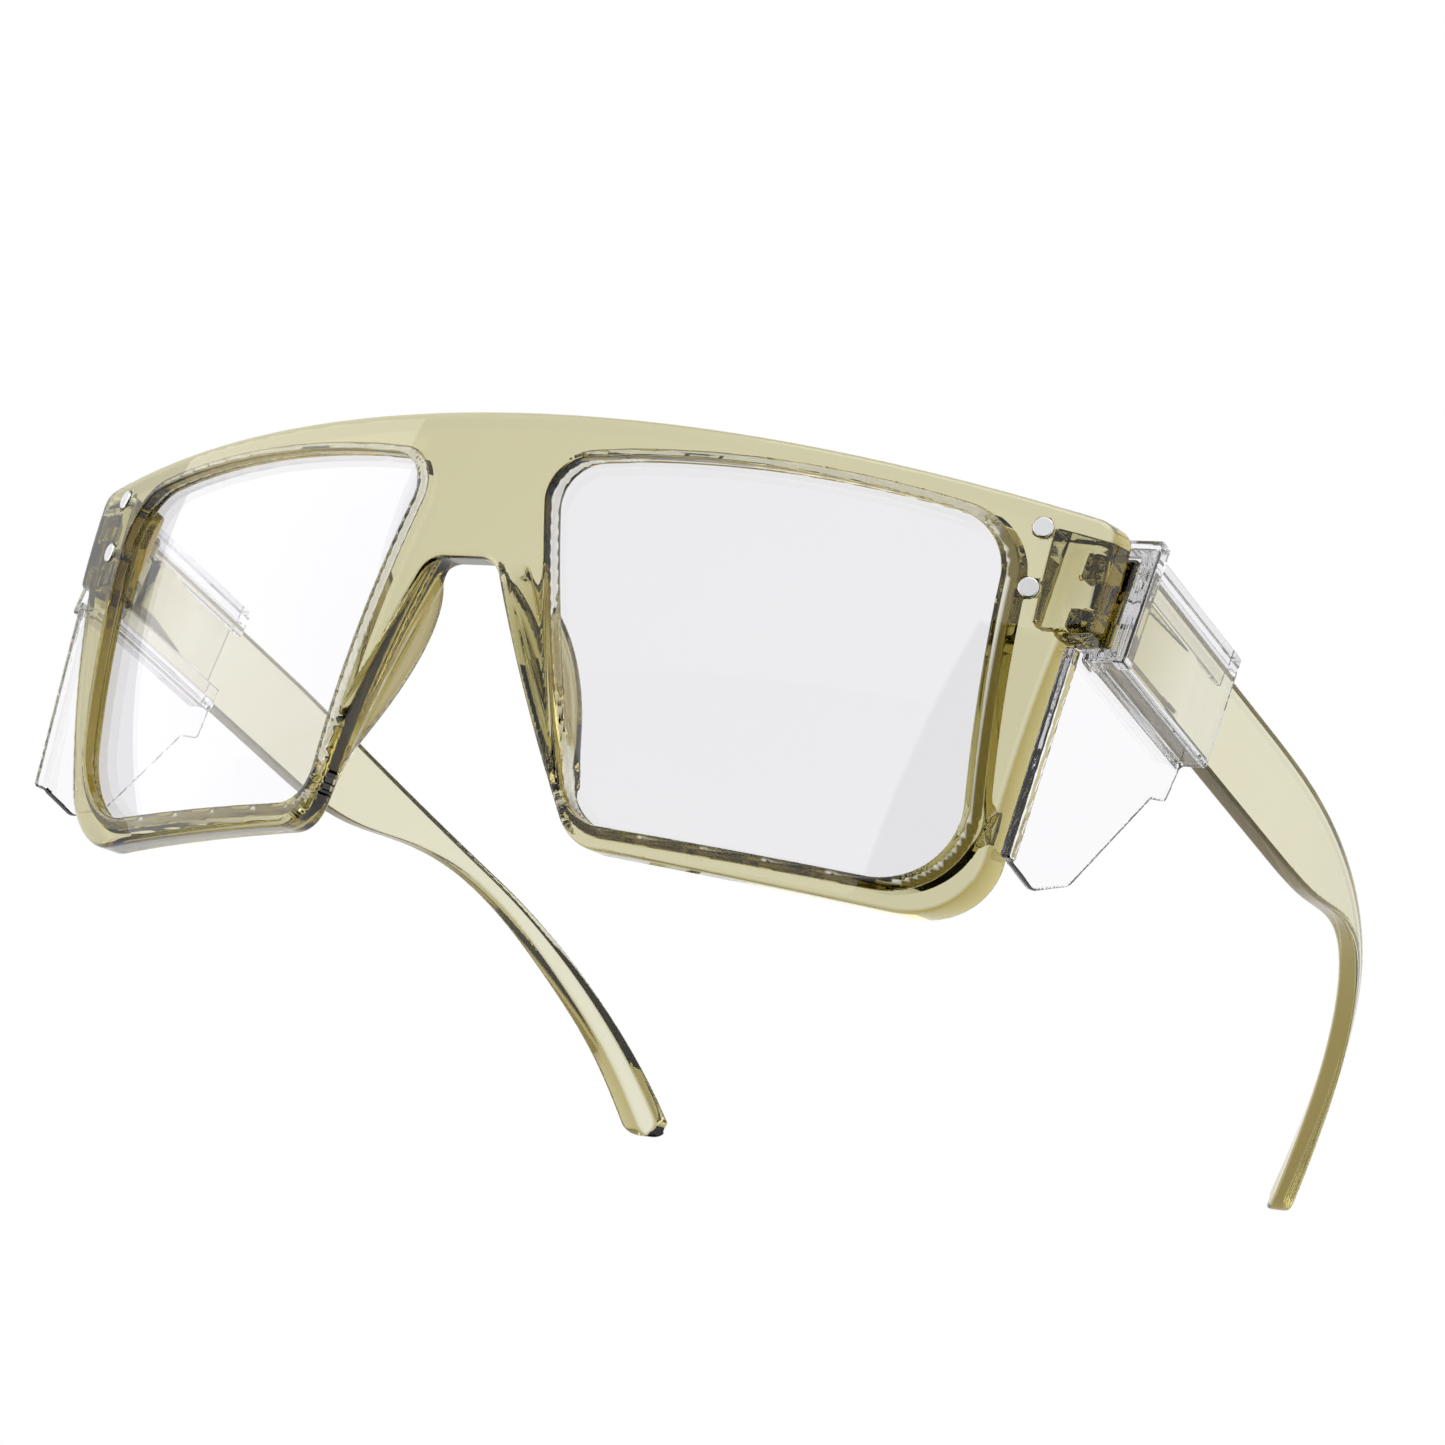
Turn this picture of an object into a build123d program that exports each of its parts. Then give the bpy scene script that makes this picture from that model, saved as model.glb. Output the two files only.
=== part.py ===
from build123d import *
from math import asin, cos, radians, sin, sqrt, tan
import os

# Safety glasses with slide-on side shields. Millimetres, +Z up, the front faces -Y and the
# temples run towards +Y. The wearer's left is +X. The origin is the crest of the bridge arch,
# where the nose carries the frame, in the middle of the arch's thickness.

# ---- front frame: its curve, tilt and thickness ----
FRONT_TILT = 16.0           # pantoscopic tilt of the front
FRONT_RX = 160.0            # radius of the front surface seen from above
FRONT_RZ = 120.0            # radius of the front surface seen from the side
FRONT_Y = -4.15             # foremost line of the front surface
FRONT_ZC = 26.7             # height of that foremost line
FRONT_THICK = 4.4
EDGE_ROUND = 0.6            # rounding of the front face's edges

# ---- front frame: outline, in the tilted plane (x, height) ----
TOP_CENTRE = 18.3           # height of the brow line at the middle
CORNER = (74.2, 11.6)       # upper outer corner
CORNER_R = 2.4
LUG_BOTTOM = (74.2, -1.2)   # lower corner of the end piece
LUG_STEP = (71.3, -2.0)     # where the end piece steps in to the rim
RIM_OUTER = (65.6, -35.3)
RIM_INNER = (19.6, -32.0)
BRIDGE_FOOT = (4.6, 0.0)
OUTLINE_R = [1.0, 1.2, 9.0, 5.5, 3.4]

# ---- lens openings, lenses and their groove ----
OPEN_TOP_IN = (8.4, 12.3)
OPEN_TOP_MID = (36.0, 13.3)
OPEN_TOP_OUT = (64.0, 9.6)
OPEN_LOW_OUT = (64.3, -31.9)
OPEN_LOW_IN = (19.0, -29.3)
OPEN_LOW_R = [9.5, 6.0]
OPEN_TOP_R = (4.6, 7.5)
LENS_DEPTH = 1.7            # lens front surface behind the frame's front surface
LENS_THICK = 2.0
LENS_OVERLAP = 1.1          # how far the lens runs into its groove
GROOVE_GAP = 0.05

# ---- moulded nose pads ----
PAD_THICK = 2.2
PAD_SPLAY = 12.0            # the pads open outwards towards the face
PAD_ROOT = 3.2              # depth behind the tilted plane where they leave the rim
PAD_LOBE = [(1.0, 3.0), (4.0, 6.2), (9.0, 8.5), (14.0, 8.8), (19.5, 7.9), (25.0, 6.3), (29.0, 5.4)]

# ---- end pieces and hinges ----
LUG_BACK_Y = 19.6           # flat back of the end piece
LUG_IN_X = 66.2
LUG_LOW_Z = 4.3
LUG_TOP_Z = 15.4
LUG_OUT_X = 73.9
HINGE_X = 71.0
HINGE_Y = 22.0
KNUCKLE_R = 2.1
KNUCKLE_LOW = (4.6, 7.4)
KNUCKLE_MID = (7.5, 11.2)
KNUCKLE_TOP = (11.3, 14.2)
SCREW_R = 0.7
SCREW_HEAD_R = 1.2
SCREW_HEAD_H = 0.7
SLOT_WIDTH = 0.35
SLOT_DEPTH = 0.35
PIN_GAP = 0.05              # radial running clearance of the temple on its screw

# ---- rivets in the end pieces ----
RIVET_X = 67.3
RIVET_HEIGHTS = {"upper": 13.5, "lower": 6.4}
RIVET_HEAD_R = 1.2
RIVET_PROUD = 0.3
RIVET_SEAT = 0.5
RIVET_SHANK_R = 0.75
RIVET_LENGTH = 3.4

# ---- temples ----
BLADE_OUT_X = 75.0
BLADE_THICK = 2.6
BLADE_TOP_Z = 14.9
BLADE_LOW_Z = 3.5
BLADE_START_Y = 20.0
BLADE_STRAIGHT_Y = 66.0     # the temple starts to curve inwards here
BLADE_CURVE_R = 112.0
TOP_BEND = [(58.0, 14.9), (104.0, 10.0), (135.5, -10.0)]
LOW_BEND = [(66.0, 3.5), (80.0, 4.7), (90.0, 7.3), (98.0, 8.1), (107.0, 6.4), (117.0, 1.6), (126.0, -5.0),
            (132.3, -12.3)]
TIP = (135.1, -12.7)
BLADE_EDGE = 0.5
HINGE_RELIEF = 0.25         # room around the front's knuckles
FLARE_IN_X = 69.5           # inner face of the hinge block on the temple
FLARE_Y = (24.8, 39.0)
FLARE_Z = (5.5, 12.6)

# ---- side shields ----
SLEEVE_GAP = 0.15
SLEEVE_WALL = 0.9
SLEEVE_Y = (20.1, 45.0)
SLEEVE_TOP_WALL = 1.9
SLEEVE_LIP_H = 1.9
SLEEVE_IN_WALL = 0.8
SLEEVE_ROUND = 0.3
COLLAR_Y = 22.2
COLLAR_OUT = 1.2
WING_X = 72.2               # middle of the wing's thickness where it meets the sleeve
WING_Z = 2.5                # height of that place
WING_LEAN = 4.0             # degrees the wing leans in towards its lower edge
WING_THICK = 1.0
WING_CORNERS = [(17.3, -0.9), (20.9, -25.5), (27.5, -25.9), (33.5, -22.0), (41.9, -6.0), (44.8, -4.7),
                (45.0, 0.4), (20.6, 0.4)]   # along the glasses and up the wing from WING_Z
WING_R = [1.6, 2.2, 2.0, 1.2, 0.8, 0.3]
RIB_WIDTH = 1.5             # raised rib along the wing's front edge
RIB_THICK = 1.4             # flush with the wing's inner face
LIP_START_Y = 24.6          # the inner lips start behind the hinge knuckles

os.makedirs("parts", exist_ok=True)

SIDES = {"left": 1, "right": -1}
AXIS_Y = FRONT_Y + FRONT_RX                     # vertical axis that the front surface is turned about
TILT = radians(FRONT_TILT)
FRONT_PLANE = Plane(origin=(0, 0, 0), x_dir=(1, 0, 0), z_dir=(0, -cos(TILT), -sin(TILT)))
SWEEP = 80.0
START = radians(-SWEEP / 2)
SHEET_PLANE = Plane(origin=(0, AXIS_Y, 0), x_dir=(sin(START), -cos(START), 0),
                    z_dir=(-cos(START), -sin(START), 0))
LEAN = radians(WING_LEAN)
WING_PLANE = Plane(origin=(WING_X, 0, WING_Z), x_dir=(0, 1, 0), z_dir=(cos(LEAN), 0, -sin(LEAN)))


def front_y(x, z):
    """Y of the front surface at a place on it."""
    reach = FRONT_RX - FRONT_RZ + sqrt(FRONT_RZ**2 - (z - FRONT_ZC) ** 2)
    return AXIS_Y - sqrt(reach**2 - x**2)


def front_normal(x, z):
    """Outward normal of the front surface at a place on it."""
    rise = asin((z - FRONT_ZC) / FRONT_RZ)
    turn = asin(x / (FRONT_RX - FRONT_RZ + FRONT_RZ * cos(rise)))
    return Vector(sin(turn) * cos(rise), -cos(turn) * cos(rise), sin(rise))


def mirrored(points):
    """The same (x, height) points on the other side, in reverse order."""
    return [(-x, z) for x, z in reversed(points)]


def sheet(near, far):
    """Curved sheet that follows the front surface between two depths behind it."""
    with BuildPart() as made:
        with BuildSketch(SHEET_PLANE):
            with BuildLine():
                outer = CenterArc((FRONT_RX - FRONT_RZ, FRONT_ZC), FRONT_RZ - near, -40, 44)
                inner = CenterArc((FRONT_RX - FRONT_RZ, FRONT_ZC), FRONT_RZ - far, -40, 44)
                Line(outer @ 0, inner @ 0)
                Line(outer @ 1, inner @ 1)
            make_face()
        revolve(axis=Axis((0, AXIS_Y, 0), (0, 0, 1)), revolution_arc=SWEEP)
    return made.part


def outline_prism():
    """Whole outline of the front, as a prism along the tilted plane's normal."""
    half = [CORNER, LUG_BOTTOM, LUG_STEP, RIM_OUTER, RIM_INNER, BRIDGE_FOOT]
    with BuildPart() as made:
        with BuildSketch(FRONT_PLANE) as face:
            with BuildLine():
                FilletPolyline(*half, *mirrored(half), radius=OUTLINE_R + OUTLINE_R[::-1])
                ThreePointArc((-CORNER[0], CORNER[1]), (0, TOP_CENTRE), CORNER)
            make_face()
            corners = face.vertices().sort_by(Axis.Y)[-2:]
            fillet(corners, CORNER_R)
        extrude(amount=60, both=True)
    return made.part


def opening_prism(grow):
    """The left lens opening, grown outwards by a margin, as a prism."""
    with BuildPart() as made:
        with BuildSketch(FRONT_PLANE) as face:
            with BuildLine():
                FilletPolyline(OPEN_TOP_OUT, OPEN_LOW_OUT, OPEN_LOW_IN, OPEN_TOP_IN, radius=OPEN_LOW_R)
                ThreePointArc(OPEN_TOP_IN, OPEN_TOP_MID, OPEN_TOP_OUT)
            make_face()
            fillet(face.vertices().sort_by(Axis.Y)[-2], OPEN_TOP_R[1])
            fillet(face.vertices().sort_by(Axis.Y)[-1], OPEN_TOP_R[0])
            if grow:
                offset(amount=grow)
        extrude(amount=60, both=True)
    return made.part


def nose_pad():
    """Left nose pad: a lobed wall that runs back from the rim beside the nose."""
    down = (Vector(*RIM_INNER) - Vector(*BRIDGE_FOOT)).normalized()
    out = Vector(-down.Y, down.X)
    back = FRONT_PLANE.z_dir * -1
    down_dir = FRONT_PLANE.x_dir * down.X + FRONT_PLANE.y_dir * down.Y
    out_dir = FRONT_PLANE.x_dir * out.X + FRONT_PLANE.y_dir * out.Y
    lean = back * cos(radians(PAD_SPLAY)) + out_dir * sin(radians(PAD_SPLAY))
    foot = FRONT_PLANE.from_local_coords(Vector(*BRIDGE_FOOT))
    start = foot - out_dir * (PAD_ROOT * tan(radians(PAD_SPLAY)))
    pad_plane = Plane(origin=start, x_dir=down_dir, z_dir=down_dir.cross(lean))
    with BuildPart() as made:
        with BuildSketch(pad_plane):
            with BuildLine():
                Spline(*PAD_LOBE)
                Line(PAD_LOBE[-1], PAD_LOBE[0])
            make_face()
        extrude(amount=PAD_THICK, dir=out_dir)
    return made.part


def box_between(low, high):
    """Solid box from its lowest to its highest corner."""
    size = [b - a for a, b in zip(low, high)]
    middle = [(a + b) / 2 for a, b in zip(low, high)]
    return Pos(*middle) * Box(*size, mode=Mode.PRIVATE)


def upright(radius, low, high):
    """Solid cylinder on the left hinge axis between two heights."""
    return Pos(HINGE_X, HINGE_Y, (low + high) / 2) * Cylinder(radius, high - low, mode=Mode.PRIVATE)


def hinge_lug():
    """Left end piece: thick block behind the front surface, with the front's two knuckles."""
    with BuildPart() as made:
        add(box_between((LUG_IN_X, 4, LUG_LOW_Z), (LUG_OUT_X, LUG_BACK_Y, LUG_TOP_Z)))
        add(sheet(0.6, 16), mode=Mode.INTERSECT)
        for low, high in (KNUCKLE_LOW, KNUCKLE_TOP):
            add(upright(KNUCKLE_R, low, high))
            neck_low = (HINGE_X - KNUCKLE_R, LUG_BACK_Y - 0.5, low)
            add(box_between(neck_low, (HINGE_X + KNUCKLE_R, HINGE_Y, high)))
    return made.part


def rivet_plane(height):
    """Plane on the front surface at one of the left rivets, facing outwards."""
    return Plane(origin=(RIVET_X, front_y(RIVET_X, height), height), z_dir=front_normal(RIVET_X, height))


def rivet_solid(height, gap=0.0):
    """One left rivet: a flat domed head on a shank; a gap makes the hole for it instead."""
    with BuildPart() as made:
        with BuildSketch(rivet_plane(height).offset(-RIVET_LENGTH - gap)):
            Circle(RIVET_SHANK_R + gap)
        extrude(amount=RIVET_LENGTH + gap)
        with BuildSketch(rivet_plane(height).offset(-RIVET_SEAT - gap)):
            Circle(RIVET_HEAD_R + gap)
        extrude(amount=RIVET_SEAT + RIVET_PROUD + gap)
        if gap == 0:
            chamfer(made.edges().sort_by(SortBy.DISTANCE)[-1], RIVET_PROUD / 2)
    return made.part


def on_front(edge):
    """Whether an edge of the left half or right half lies on the front surface."""
    middle = edge @ 0.5
    return abs(front_y(middle.X, middle.Z) - middle.Y) < 0.02


def both_sides(solid):
    """The left solid and its mirror image on the right."""
    return [solid, solid.mirror(Plane.YZ)]


# ---- front frame ----
pocket_sheet = sheet(LENS_DEPTH - GROOVE_GAP, LENS_DEPTH + LENS_THICK + GROOVE_GAP)
lens_pocket = opening_prism(LENS_OVERLAP + GROOVE_GAP) & pocket_sheet

with BuildPart() as front_frame:
    add(outline_prism())
    add(sheet(0, FRONT_THICK), mode=Mode.INTERSECT)
    add(both_sides(opening_prism(0)), mode=Mode.SUBTRACT)
    fillet(front_frame.edges().filter_by(on_front), EDGE_ROUND)
    add(box_between((-90, LUG_BACK_Y, LUG_LOW_Z - 3), (-LUG_IN_X, 40, 30)), mode=Mode.SUBTRACT)
    add(box_between((LUG_IN_X, LUG_BACK_Y, LUG_LOW_Z - 3), (90, 40, 30)), mode=Mode.SUBTRACT)
    add(both_sides(lens_pocket), mode=Mode.SUBTRACT)
    add(both_sides(nose_pad()))
    add(both_sides(hinge_lug()))
    for height in RIVET_HEIGHTS.values():
        add(both_sides(rivet_solid(height, GROOVE_GAP)), mode=Mode.SUBTRACT)
    add(both_sides(upright(SCREW_R + 0.02, KNUCKLE_LOW[0] + 0.3, KNUCKLE_TOP[1])), mode=Mode.SUBTRACT)
front_frame.part.label = "front_frame"
export_step(front_frame.part, "parts/front_frame.step")

# ---- lenses ----
for side, sign in SIDES.items():
    with BuildPart() as lens:
        add(opening_prism(LENS_OVERLAP))
        add(sheet(LENS_DEPTH, LENS_DEPTH + LENS_THICK), mode=Mode.INTERSECT)
        if sign < 0:
            mirror(about=Plane.YZ, mode=Mode.REPLACE)
    lens.part.label = f"lens_{side}"
    export_step(lens.part, f"parts/lens_{side}.step")

# ---- rivets ----
for side, sign in SIDES.items():
    for place, height in RIVET_HEIGHTS.items():
        with BuildPart() as rivet:
            add(rivet_solid(height))
            if sign < 0:
                mirror(about=Plane.YZ, mode=Mode.REPLACE)
        rivet.part.label = f"rivet_{place}_{side}"
        export_step(rivet.part, f"parts/rivet_{place}_{side}.step")

# ---- hinge screws ----
for side, sign in SIDES.items():
    with BuildPart() as screw:
        add(upright(SCREW_R, KNUCKLE_LOW[0] + 0.4, KNUCKLE_TOP[1]))
        add(upright(SCREW_HEAD_R, KNUCKLE_TOP[1], KNUCKLE_TOP[1] + SCREW_HEAD_H))
        slot_low = KNUCKLE_TOP[1] + SCREW_HEAD_H - SLOT_DEPTH
        slot_high = (HINGE_X + 2, HINGE_Y + SLOT_WIDTH / 2, 20)
        add(box_between((HINGE_X - 2, HINGE_Y - SLOT_WIDTH / 2, slot_low), slot_high), mode=Mode.SUBTRACT)
        if sign < 0:
            mirror(about=Plane.YZ, mode=Mode.REPLACE)
    screw.part.label = f"hinge_screw_{side}"
    export_step(screw.part, f"parts/hinge_screw_{side}.step")


def temple_side_view():
    """Temple as seen from the side, carried across the whole width."""
    with BuildPart() as made:
        with BuildSketch(Plane.YZ):
            with BuildLine():
                top = Line((BLADE_START_Y, BLADE_TOP_Z), TOP_BEND[0])
                slope = TangentArc(TOP_BEND[0], TOP_BEND[1], tangent=top % 1)
                hook = TangentArc(TOP_BEND[1], TOP_BEND[2], tangent=slope % 1)
                ThreePointArc(TOP_BEND[2], TIP, LOW_BEND[-1])
                under = Spline(*LOW_BEND, tangents=((1, 0), hook % 1))
                Line(under @ 0, (BLADE_START_Y, BLADE_LOW_Z))
                Line((BLADE_START_Y, BLADE_LOW_Z), (BLADE_START_Y, BLADE_TOP_Z))
            make_face()
        extrude(amount=90)
    return made.part


def temple_plan_view():
    """Temple as seen from above, carried over the whole height."""
    inner_x = BLADE_OUT_X - BLADE_THICK
    with BuildPart() as made:
        with BuildSketch(Plane.XY.offset(-30)):
            with BuildLine():
                outer = Line((BLADE_OUT_X, BLADE_START_Y), (BLADE_OUT_X, BLADE_STRAIGHT_Y))
                outer_curve = JernArc(outer @ 1, (0, 1), BLADE_CURVE_R, 45)
                inner = Line((inner_x, BLADE_START_Y), (inner_x, BLADE_STRAIGHT_Y))
                inner_curve = JernArc(inner @ 1, (0, 1), BLADE_CURVE_R - BLADE_THICK, 45)
                Line(outer @ 0, inner @ 0)
                Line(outer_curve @ 1, inner_curve @ 1)
            make_face()
        extrude(amount=60)
    return made.part


def temple_knuckle():
    """Hinge block on the left temple's inner face and the round knuckle in front of it."""
    inner_x = BLADE_OUT_X - BLADE_THICK
    with BuildPart() as made:
        with BuildSketch(Plane.XY.offset(FLARE_Z[0])):
            with BuildLine():
                Polyline((inner_x + 0.3, FLARE_Y[0]), (FLARE_IN_X, FLARE_Y[0]), (FLARE_IN_X, FLARE_Y[0] + 3),
                         (inner_x + 0.3, FLARE_Y[1]), close=True)
            make_face()
        extrude(amount=FLARE_Z[1] - FLARE_Z[0])
        add(upright(KNUCKLE_R, *KNUCKLE_MID))
        web_high = (BLADE_OUT_X - 0.8, FLARE_Y[0] + 0.5, KNUCKLE_MID[1])
        add(box_between((HINGE_X, HINGE_Y - 1.6, KNUCKLE_MID[0]), web_high))
    return made.part


# ---- temples ----
for side, sign in SIDES.items():
    with BuildPart() as temple:
        add(temple_side_view())
        add(temple_plan_view(), mode=Mode.INTERSECT)
        long_edges = temple.edges().filter_by(lambda edge: edge.length > 8)
        fillet(long_edges, BLADE_EDGE)
        add(upright(KNUCKLE_R + HINGE_RELIEF, BLADE_LOW_Z - 1, BLADE_TOP_Z + 1), mode=Mode.SUBTRACT)
        relief_high = (HINGE_X + KNUCKLE_R + HINGE_RELIEF, HINGE_Y, 20)
        add(box_between((HINGE_X - 4, 15, 0), relief_high), mode=Mode.SUBTRACT)
        add(temple_knuckle())
        add(upright(SCREW_R + PIN_GAP, 0, 20), mode=Mode.SUBTRACT)
        if sign < 0:
            mirror(about=Plane.YZ, mode=Mode.REPLACE)
    temple.part.label = f"temple_{side}"
    export_step(temple.part, f"parts/temple_{side}.step")

# ---- side shields ----
with BuildPart() as wing_side_view:
    with BuildSketch(WING_PLANE.offset(-WING_THICK / 2)):
        with BuildLine():
            FilletPolyline(*WING_CORNERS, radius=WING_R)
            Line(WING_CORNERS[-1], WING_CORNERS[0])
        make_face()
    extrude(amount=WING_THICK)
wing_sheet = wing_side_view.part

with BuildPart() as wing_front_edge:
    with BuildSketch(WING_PLANE.offset(-WING_THICK / 2)):
        with BuildLine():
            Line(WING_CORNERS[0], WING_CORNERS[1])
        trace(line_width=RIB_WIDTH)
    extrude(amount=RIB_THICK)
wing_rib = wing_front_edge.part

inside = BLADE_OUT_X - BLADE_THICK - SLEEVE_GAP
outside = BLADE_OUT_X + SLEEVE_GAP
floor = BLADE_LOW_Z - SLEEVE_GAP
roof = BLADE_TOP_Z + SLEEVE_GAP
for side, sign in SIDES.items():
    with BuildPart() as shield:
        add(box_between((inside - SLEEVE_IN_WALL, SLEEVE_Y[0], floor - SLEEVE_WALL),
                        (outside + SLEEVE_WALL, SLEEVE_Y[1], roof + SLEEVE_TOP_WALL)))
        fillet(shield.edges().filter_by(Axis.Y), SLEEVE_ROUND)
        collar_low = (inside - SLEEVE_IN_WALL, SLEEVE_Y[0], floor - SLEEVE_WALL - COLLAR_OUT / 2)
        collar_high = (outside + SLEEVE_WALL + COLLAR_OUT, COLLAR_Y, roof + SLEEVE_TOP_WALL + COLLAR_OUT / 2)
        add(box_between(collar_low, collar_high))
        add(wing_sheet)
        add(wing_rib)
        add(box_between((inside, 0, floor), (outside, 60, roof)), mode=Mode.SUBTRACT)
        slot_high = (inside, 60, roof - SLEEVE_LIP_H)
        add(box_between((inside - 3, 0, floor + SLEEVE_LIP_H), slot_high), mode=Mode.SUBTRACT)
        add(box_between((inside - 3, 0, floor), (inside + 0.1, LIP_START_Y, roof)), mode=Mode.SUBTRACT)
        if sign < 0:
            mirror(about=Plane.YZ, mode=Mode.REPLACE)
    shield.part.label = f"side_shield_{side}"
    export_step(shield.part, f"parts/side_shield_{side}.step")
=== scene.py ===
"""Clear safety glasses with slide-on side shields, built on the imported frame.

Lengths inside the builders are in millimetres and are turned into metres when a mesh is made.
+X is the wearer's left, +Y runs back along the temples and +Z is up.
"""

import logging
import math
from dataclasses import dataclass, field
from enum import Enum
from typing import Callable

import bpy
import numpy as np
from mathutils import Euler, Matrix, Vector

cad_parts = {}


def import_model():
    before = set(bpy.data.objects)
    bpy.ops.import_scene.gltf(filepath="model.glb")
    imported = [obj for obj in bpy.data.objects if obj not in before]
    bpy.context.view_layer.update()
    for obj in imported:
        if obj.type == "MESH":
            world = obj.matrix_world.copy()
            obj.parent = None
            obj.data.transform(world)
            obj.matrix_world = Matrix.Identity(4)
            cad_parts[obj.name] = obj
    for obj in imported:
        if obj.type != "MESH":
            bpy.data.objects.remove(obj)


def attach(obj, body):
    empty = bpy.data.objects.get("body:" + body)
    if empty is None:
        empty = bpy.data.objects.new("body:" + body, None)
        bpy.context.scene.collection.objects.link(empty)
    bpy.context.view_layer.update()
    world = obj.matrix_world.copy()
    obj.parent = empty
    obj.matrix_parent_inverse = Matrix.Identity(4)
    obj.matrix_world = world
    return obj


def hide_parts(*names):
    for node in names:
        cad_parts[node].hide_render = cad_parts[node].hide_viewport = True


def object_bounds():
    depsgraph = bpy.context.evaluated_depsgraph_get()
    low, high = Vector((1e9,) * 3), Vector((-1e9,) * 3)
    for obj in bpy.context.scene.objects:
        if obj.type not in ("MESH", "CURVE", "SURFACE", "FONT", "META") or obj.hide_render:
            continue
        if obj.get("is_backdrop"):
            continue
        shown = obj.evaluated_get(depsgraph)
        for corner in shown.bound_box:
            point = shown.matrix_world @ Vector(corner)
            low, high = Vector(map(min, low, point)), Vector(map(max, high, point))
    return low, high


LOG = logging.getLogger("safety_glasses")
MM = 0.001
# Name of the point attribute that carries the painted shade in the lens grooves.
GROOVE_SHADE = "painted_groove_shade"
Solid = Callable[[np.ndarray], np.ndarray]
Point2 = tuple[float, float]
Point3 = tuple[float, float, float]
Box3 = tuple[Point3, Point3]


class Side(Enum):
    """The wearer's left or right."""

    LEFT = "left"
    RIGHT = "right"

    @property
    def sign(self) -> int:
        """+1 on the wearer's left, -1 on the right."""
        return 1 if self is Side.LEFT else -1


# --------------------------------------------------------------------------------------------
# Solids as signed distances
# --------------------------------------------------------------------------------------------


def cut_round(a: np.ndarray, b: np.ndarray, radius: float) -> np.ndarray:
    """Common part of two solids with its new edge rounded.

    Args:
        a: Signed distances to the first solid.
        b: Signed distances to the second solid.
        radius: Radius of the rounded edge.

    Returns:
        Signed distances to the common part.
    """
    beyond = np.hypot(np.maximum(a + radius, 0), np.maximum(b + radius, 0))
    return np.minimum(np.maximum(a, b), -radius) + beyond


def join_round(a: np.ndarray, b: np.ndarray, radius: float) -> np.ndarray:
    """Two solids joined, with the inner corner between them filled to a radius.

    Args:
        a: Signed distances to the first solid.
        b: Signed distances to the second solid.
        radius: Radius of the filled corner.

    Returns:
        Signed distances to the joined solid.
    """
    within = np.hypot(np.maximum(radius - a, 0), np.maximum(radius - b, 0))
    return np.maximum(np.minimum(a, b), radius) - within


def slab(value: np.ndarray, low: float, high: float) -> np.ndarray:
    """Signed distance to the layer between two limits of one coordinate."""
    return np.abs(value - (low + high) / 2) - (high - low) / 2


def block(p: np.ndarray, low: Point3, high: Point3, radius: float) -> np.ndarray:
    """Box with rounded edges.

    Args:
        p: Points, one per row.
        low: Lowest corner.
        high: Highest corner.
        radius: Radius of every edge.

    Returns:
        Signed distances to the box.
    """
    centre = (np.array(low) + np.array(high)) / 2
    half = (np.array(high) - np.array(low)) / 2
    away = np.abs(p - centre) - half + radius
    outside = np.linalg.norm(np.maximum(away, 0), axis=-1)
    return outside + np.minimum(away.max(axis=-1), 0) - radius


def barrel(p: np.ndarray, centre: Point2, size: float, span: Point2, radius: float) -> np.ndarray:
    """Upright cylinder with rounded ends.

    Args:
        p: Points, one per row.
        centre: X and Y of its axis.
        size: Radius of the cylinder.
        span: Lowest and highest Z.
        radius: Radius of its end edges.

    Returns:
        Signed distances to the cylinder.
    """
    around = np.hypot(p[:, 0] - centre[0], p[:, 1] - centre[1]) - size
    return cut_round(around, slab(p[:, 2], *span), radius)


def arc_points(a: Point2, b: Point2, c: Point2, step: float) -> list[Point2]:
    """Points along the arc from a through b to c, without its two ends.

    Args:
        a: First end.
        b: A point the arc passes.
        c: Last end.
        step: Spacing of the points.

    Returns:
        The points between the ends.
    """
    ax, ay, bx, by, cx, cy = *a, *b, *c
    d = 2 * (ax * (by - cy) + bx * (cy - ay) + cx * (ay - by))
    sa, sb, sc = ax * ax + ay * ay, bx * bx + by * by, cx * cx + cy * cy
    ox = (sa * (by - cy) + sb * (cy - ay) + sc * (ay - by)) / d
    oy = (sa * (cx - bx) + sb * (ax - cx) + sc * (bx - ax)) / d
    radius = math.hypot(ax - ox, ay - oy)
    first = math.atan2(ay - oy, ax - ox)
    turn = (math.atan2(cy - oy, cx - ox) - first + math.pi) % (2 * math.pi) - math.pi
    count = max(2, round(abs(turn) * radius / step))
    angles = [first + turn * i / count for i in range(1, count)]
    return [(ox + radius * math.cos(t), oy + radius * math.sin(t)) for t in angles]


def rounded_loop(corners: list[Point3], step: float = 0.25) -> np.ndarray:
    """Closed polygon with each corner rounded to its own radius.

    Args:
        corners: X, Y and radius of each corner, in order.
        step: Spacing of the points along a rounded corner.

    Returns:
        The loop's points, one per row.
    """
    loop: list[np.ndarray] = []
    count = len(corners)
    for i, (x, y, radius) in enumerate(corners):
        here = np.array([x, y])
        if radius <= 0:
            loop.append(here)
            continue
        before = np.array(corners[i - 1][:2])
        after = np.array(corners[(i + 1) % count][:2])
        back = (before - here) / np.linalg.norm(before - here)
        ahead = (after - here) / np.linalg.norm(after - here)
        turn = math.pi - math.acos(float(np.clip(back @ ahead, -1, 1)))
        reach = radius * math.tan(turn / 2)
        middle = (back + ahead) / np.linalg.norm(back + ahead)
        centre = here + middle * radius / math.cos(turn / 2)
        start, end = here + back * reach - centre, here + ahead * reach - centre
        pieces = max(2, math.ceil(radius * turn / step))
        for k in range(pieces + 1):
            t = k / pieces
            arm = (start * math.sin((1 - t) * turn) + end * math.sin(t * turn)) / math.sin(turn)
            loop.append(centre + arm)
    return np.array(loop)


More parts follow.
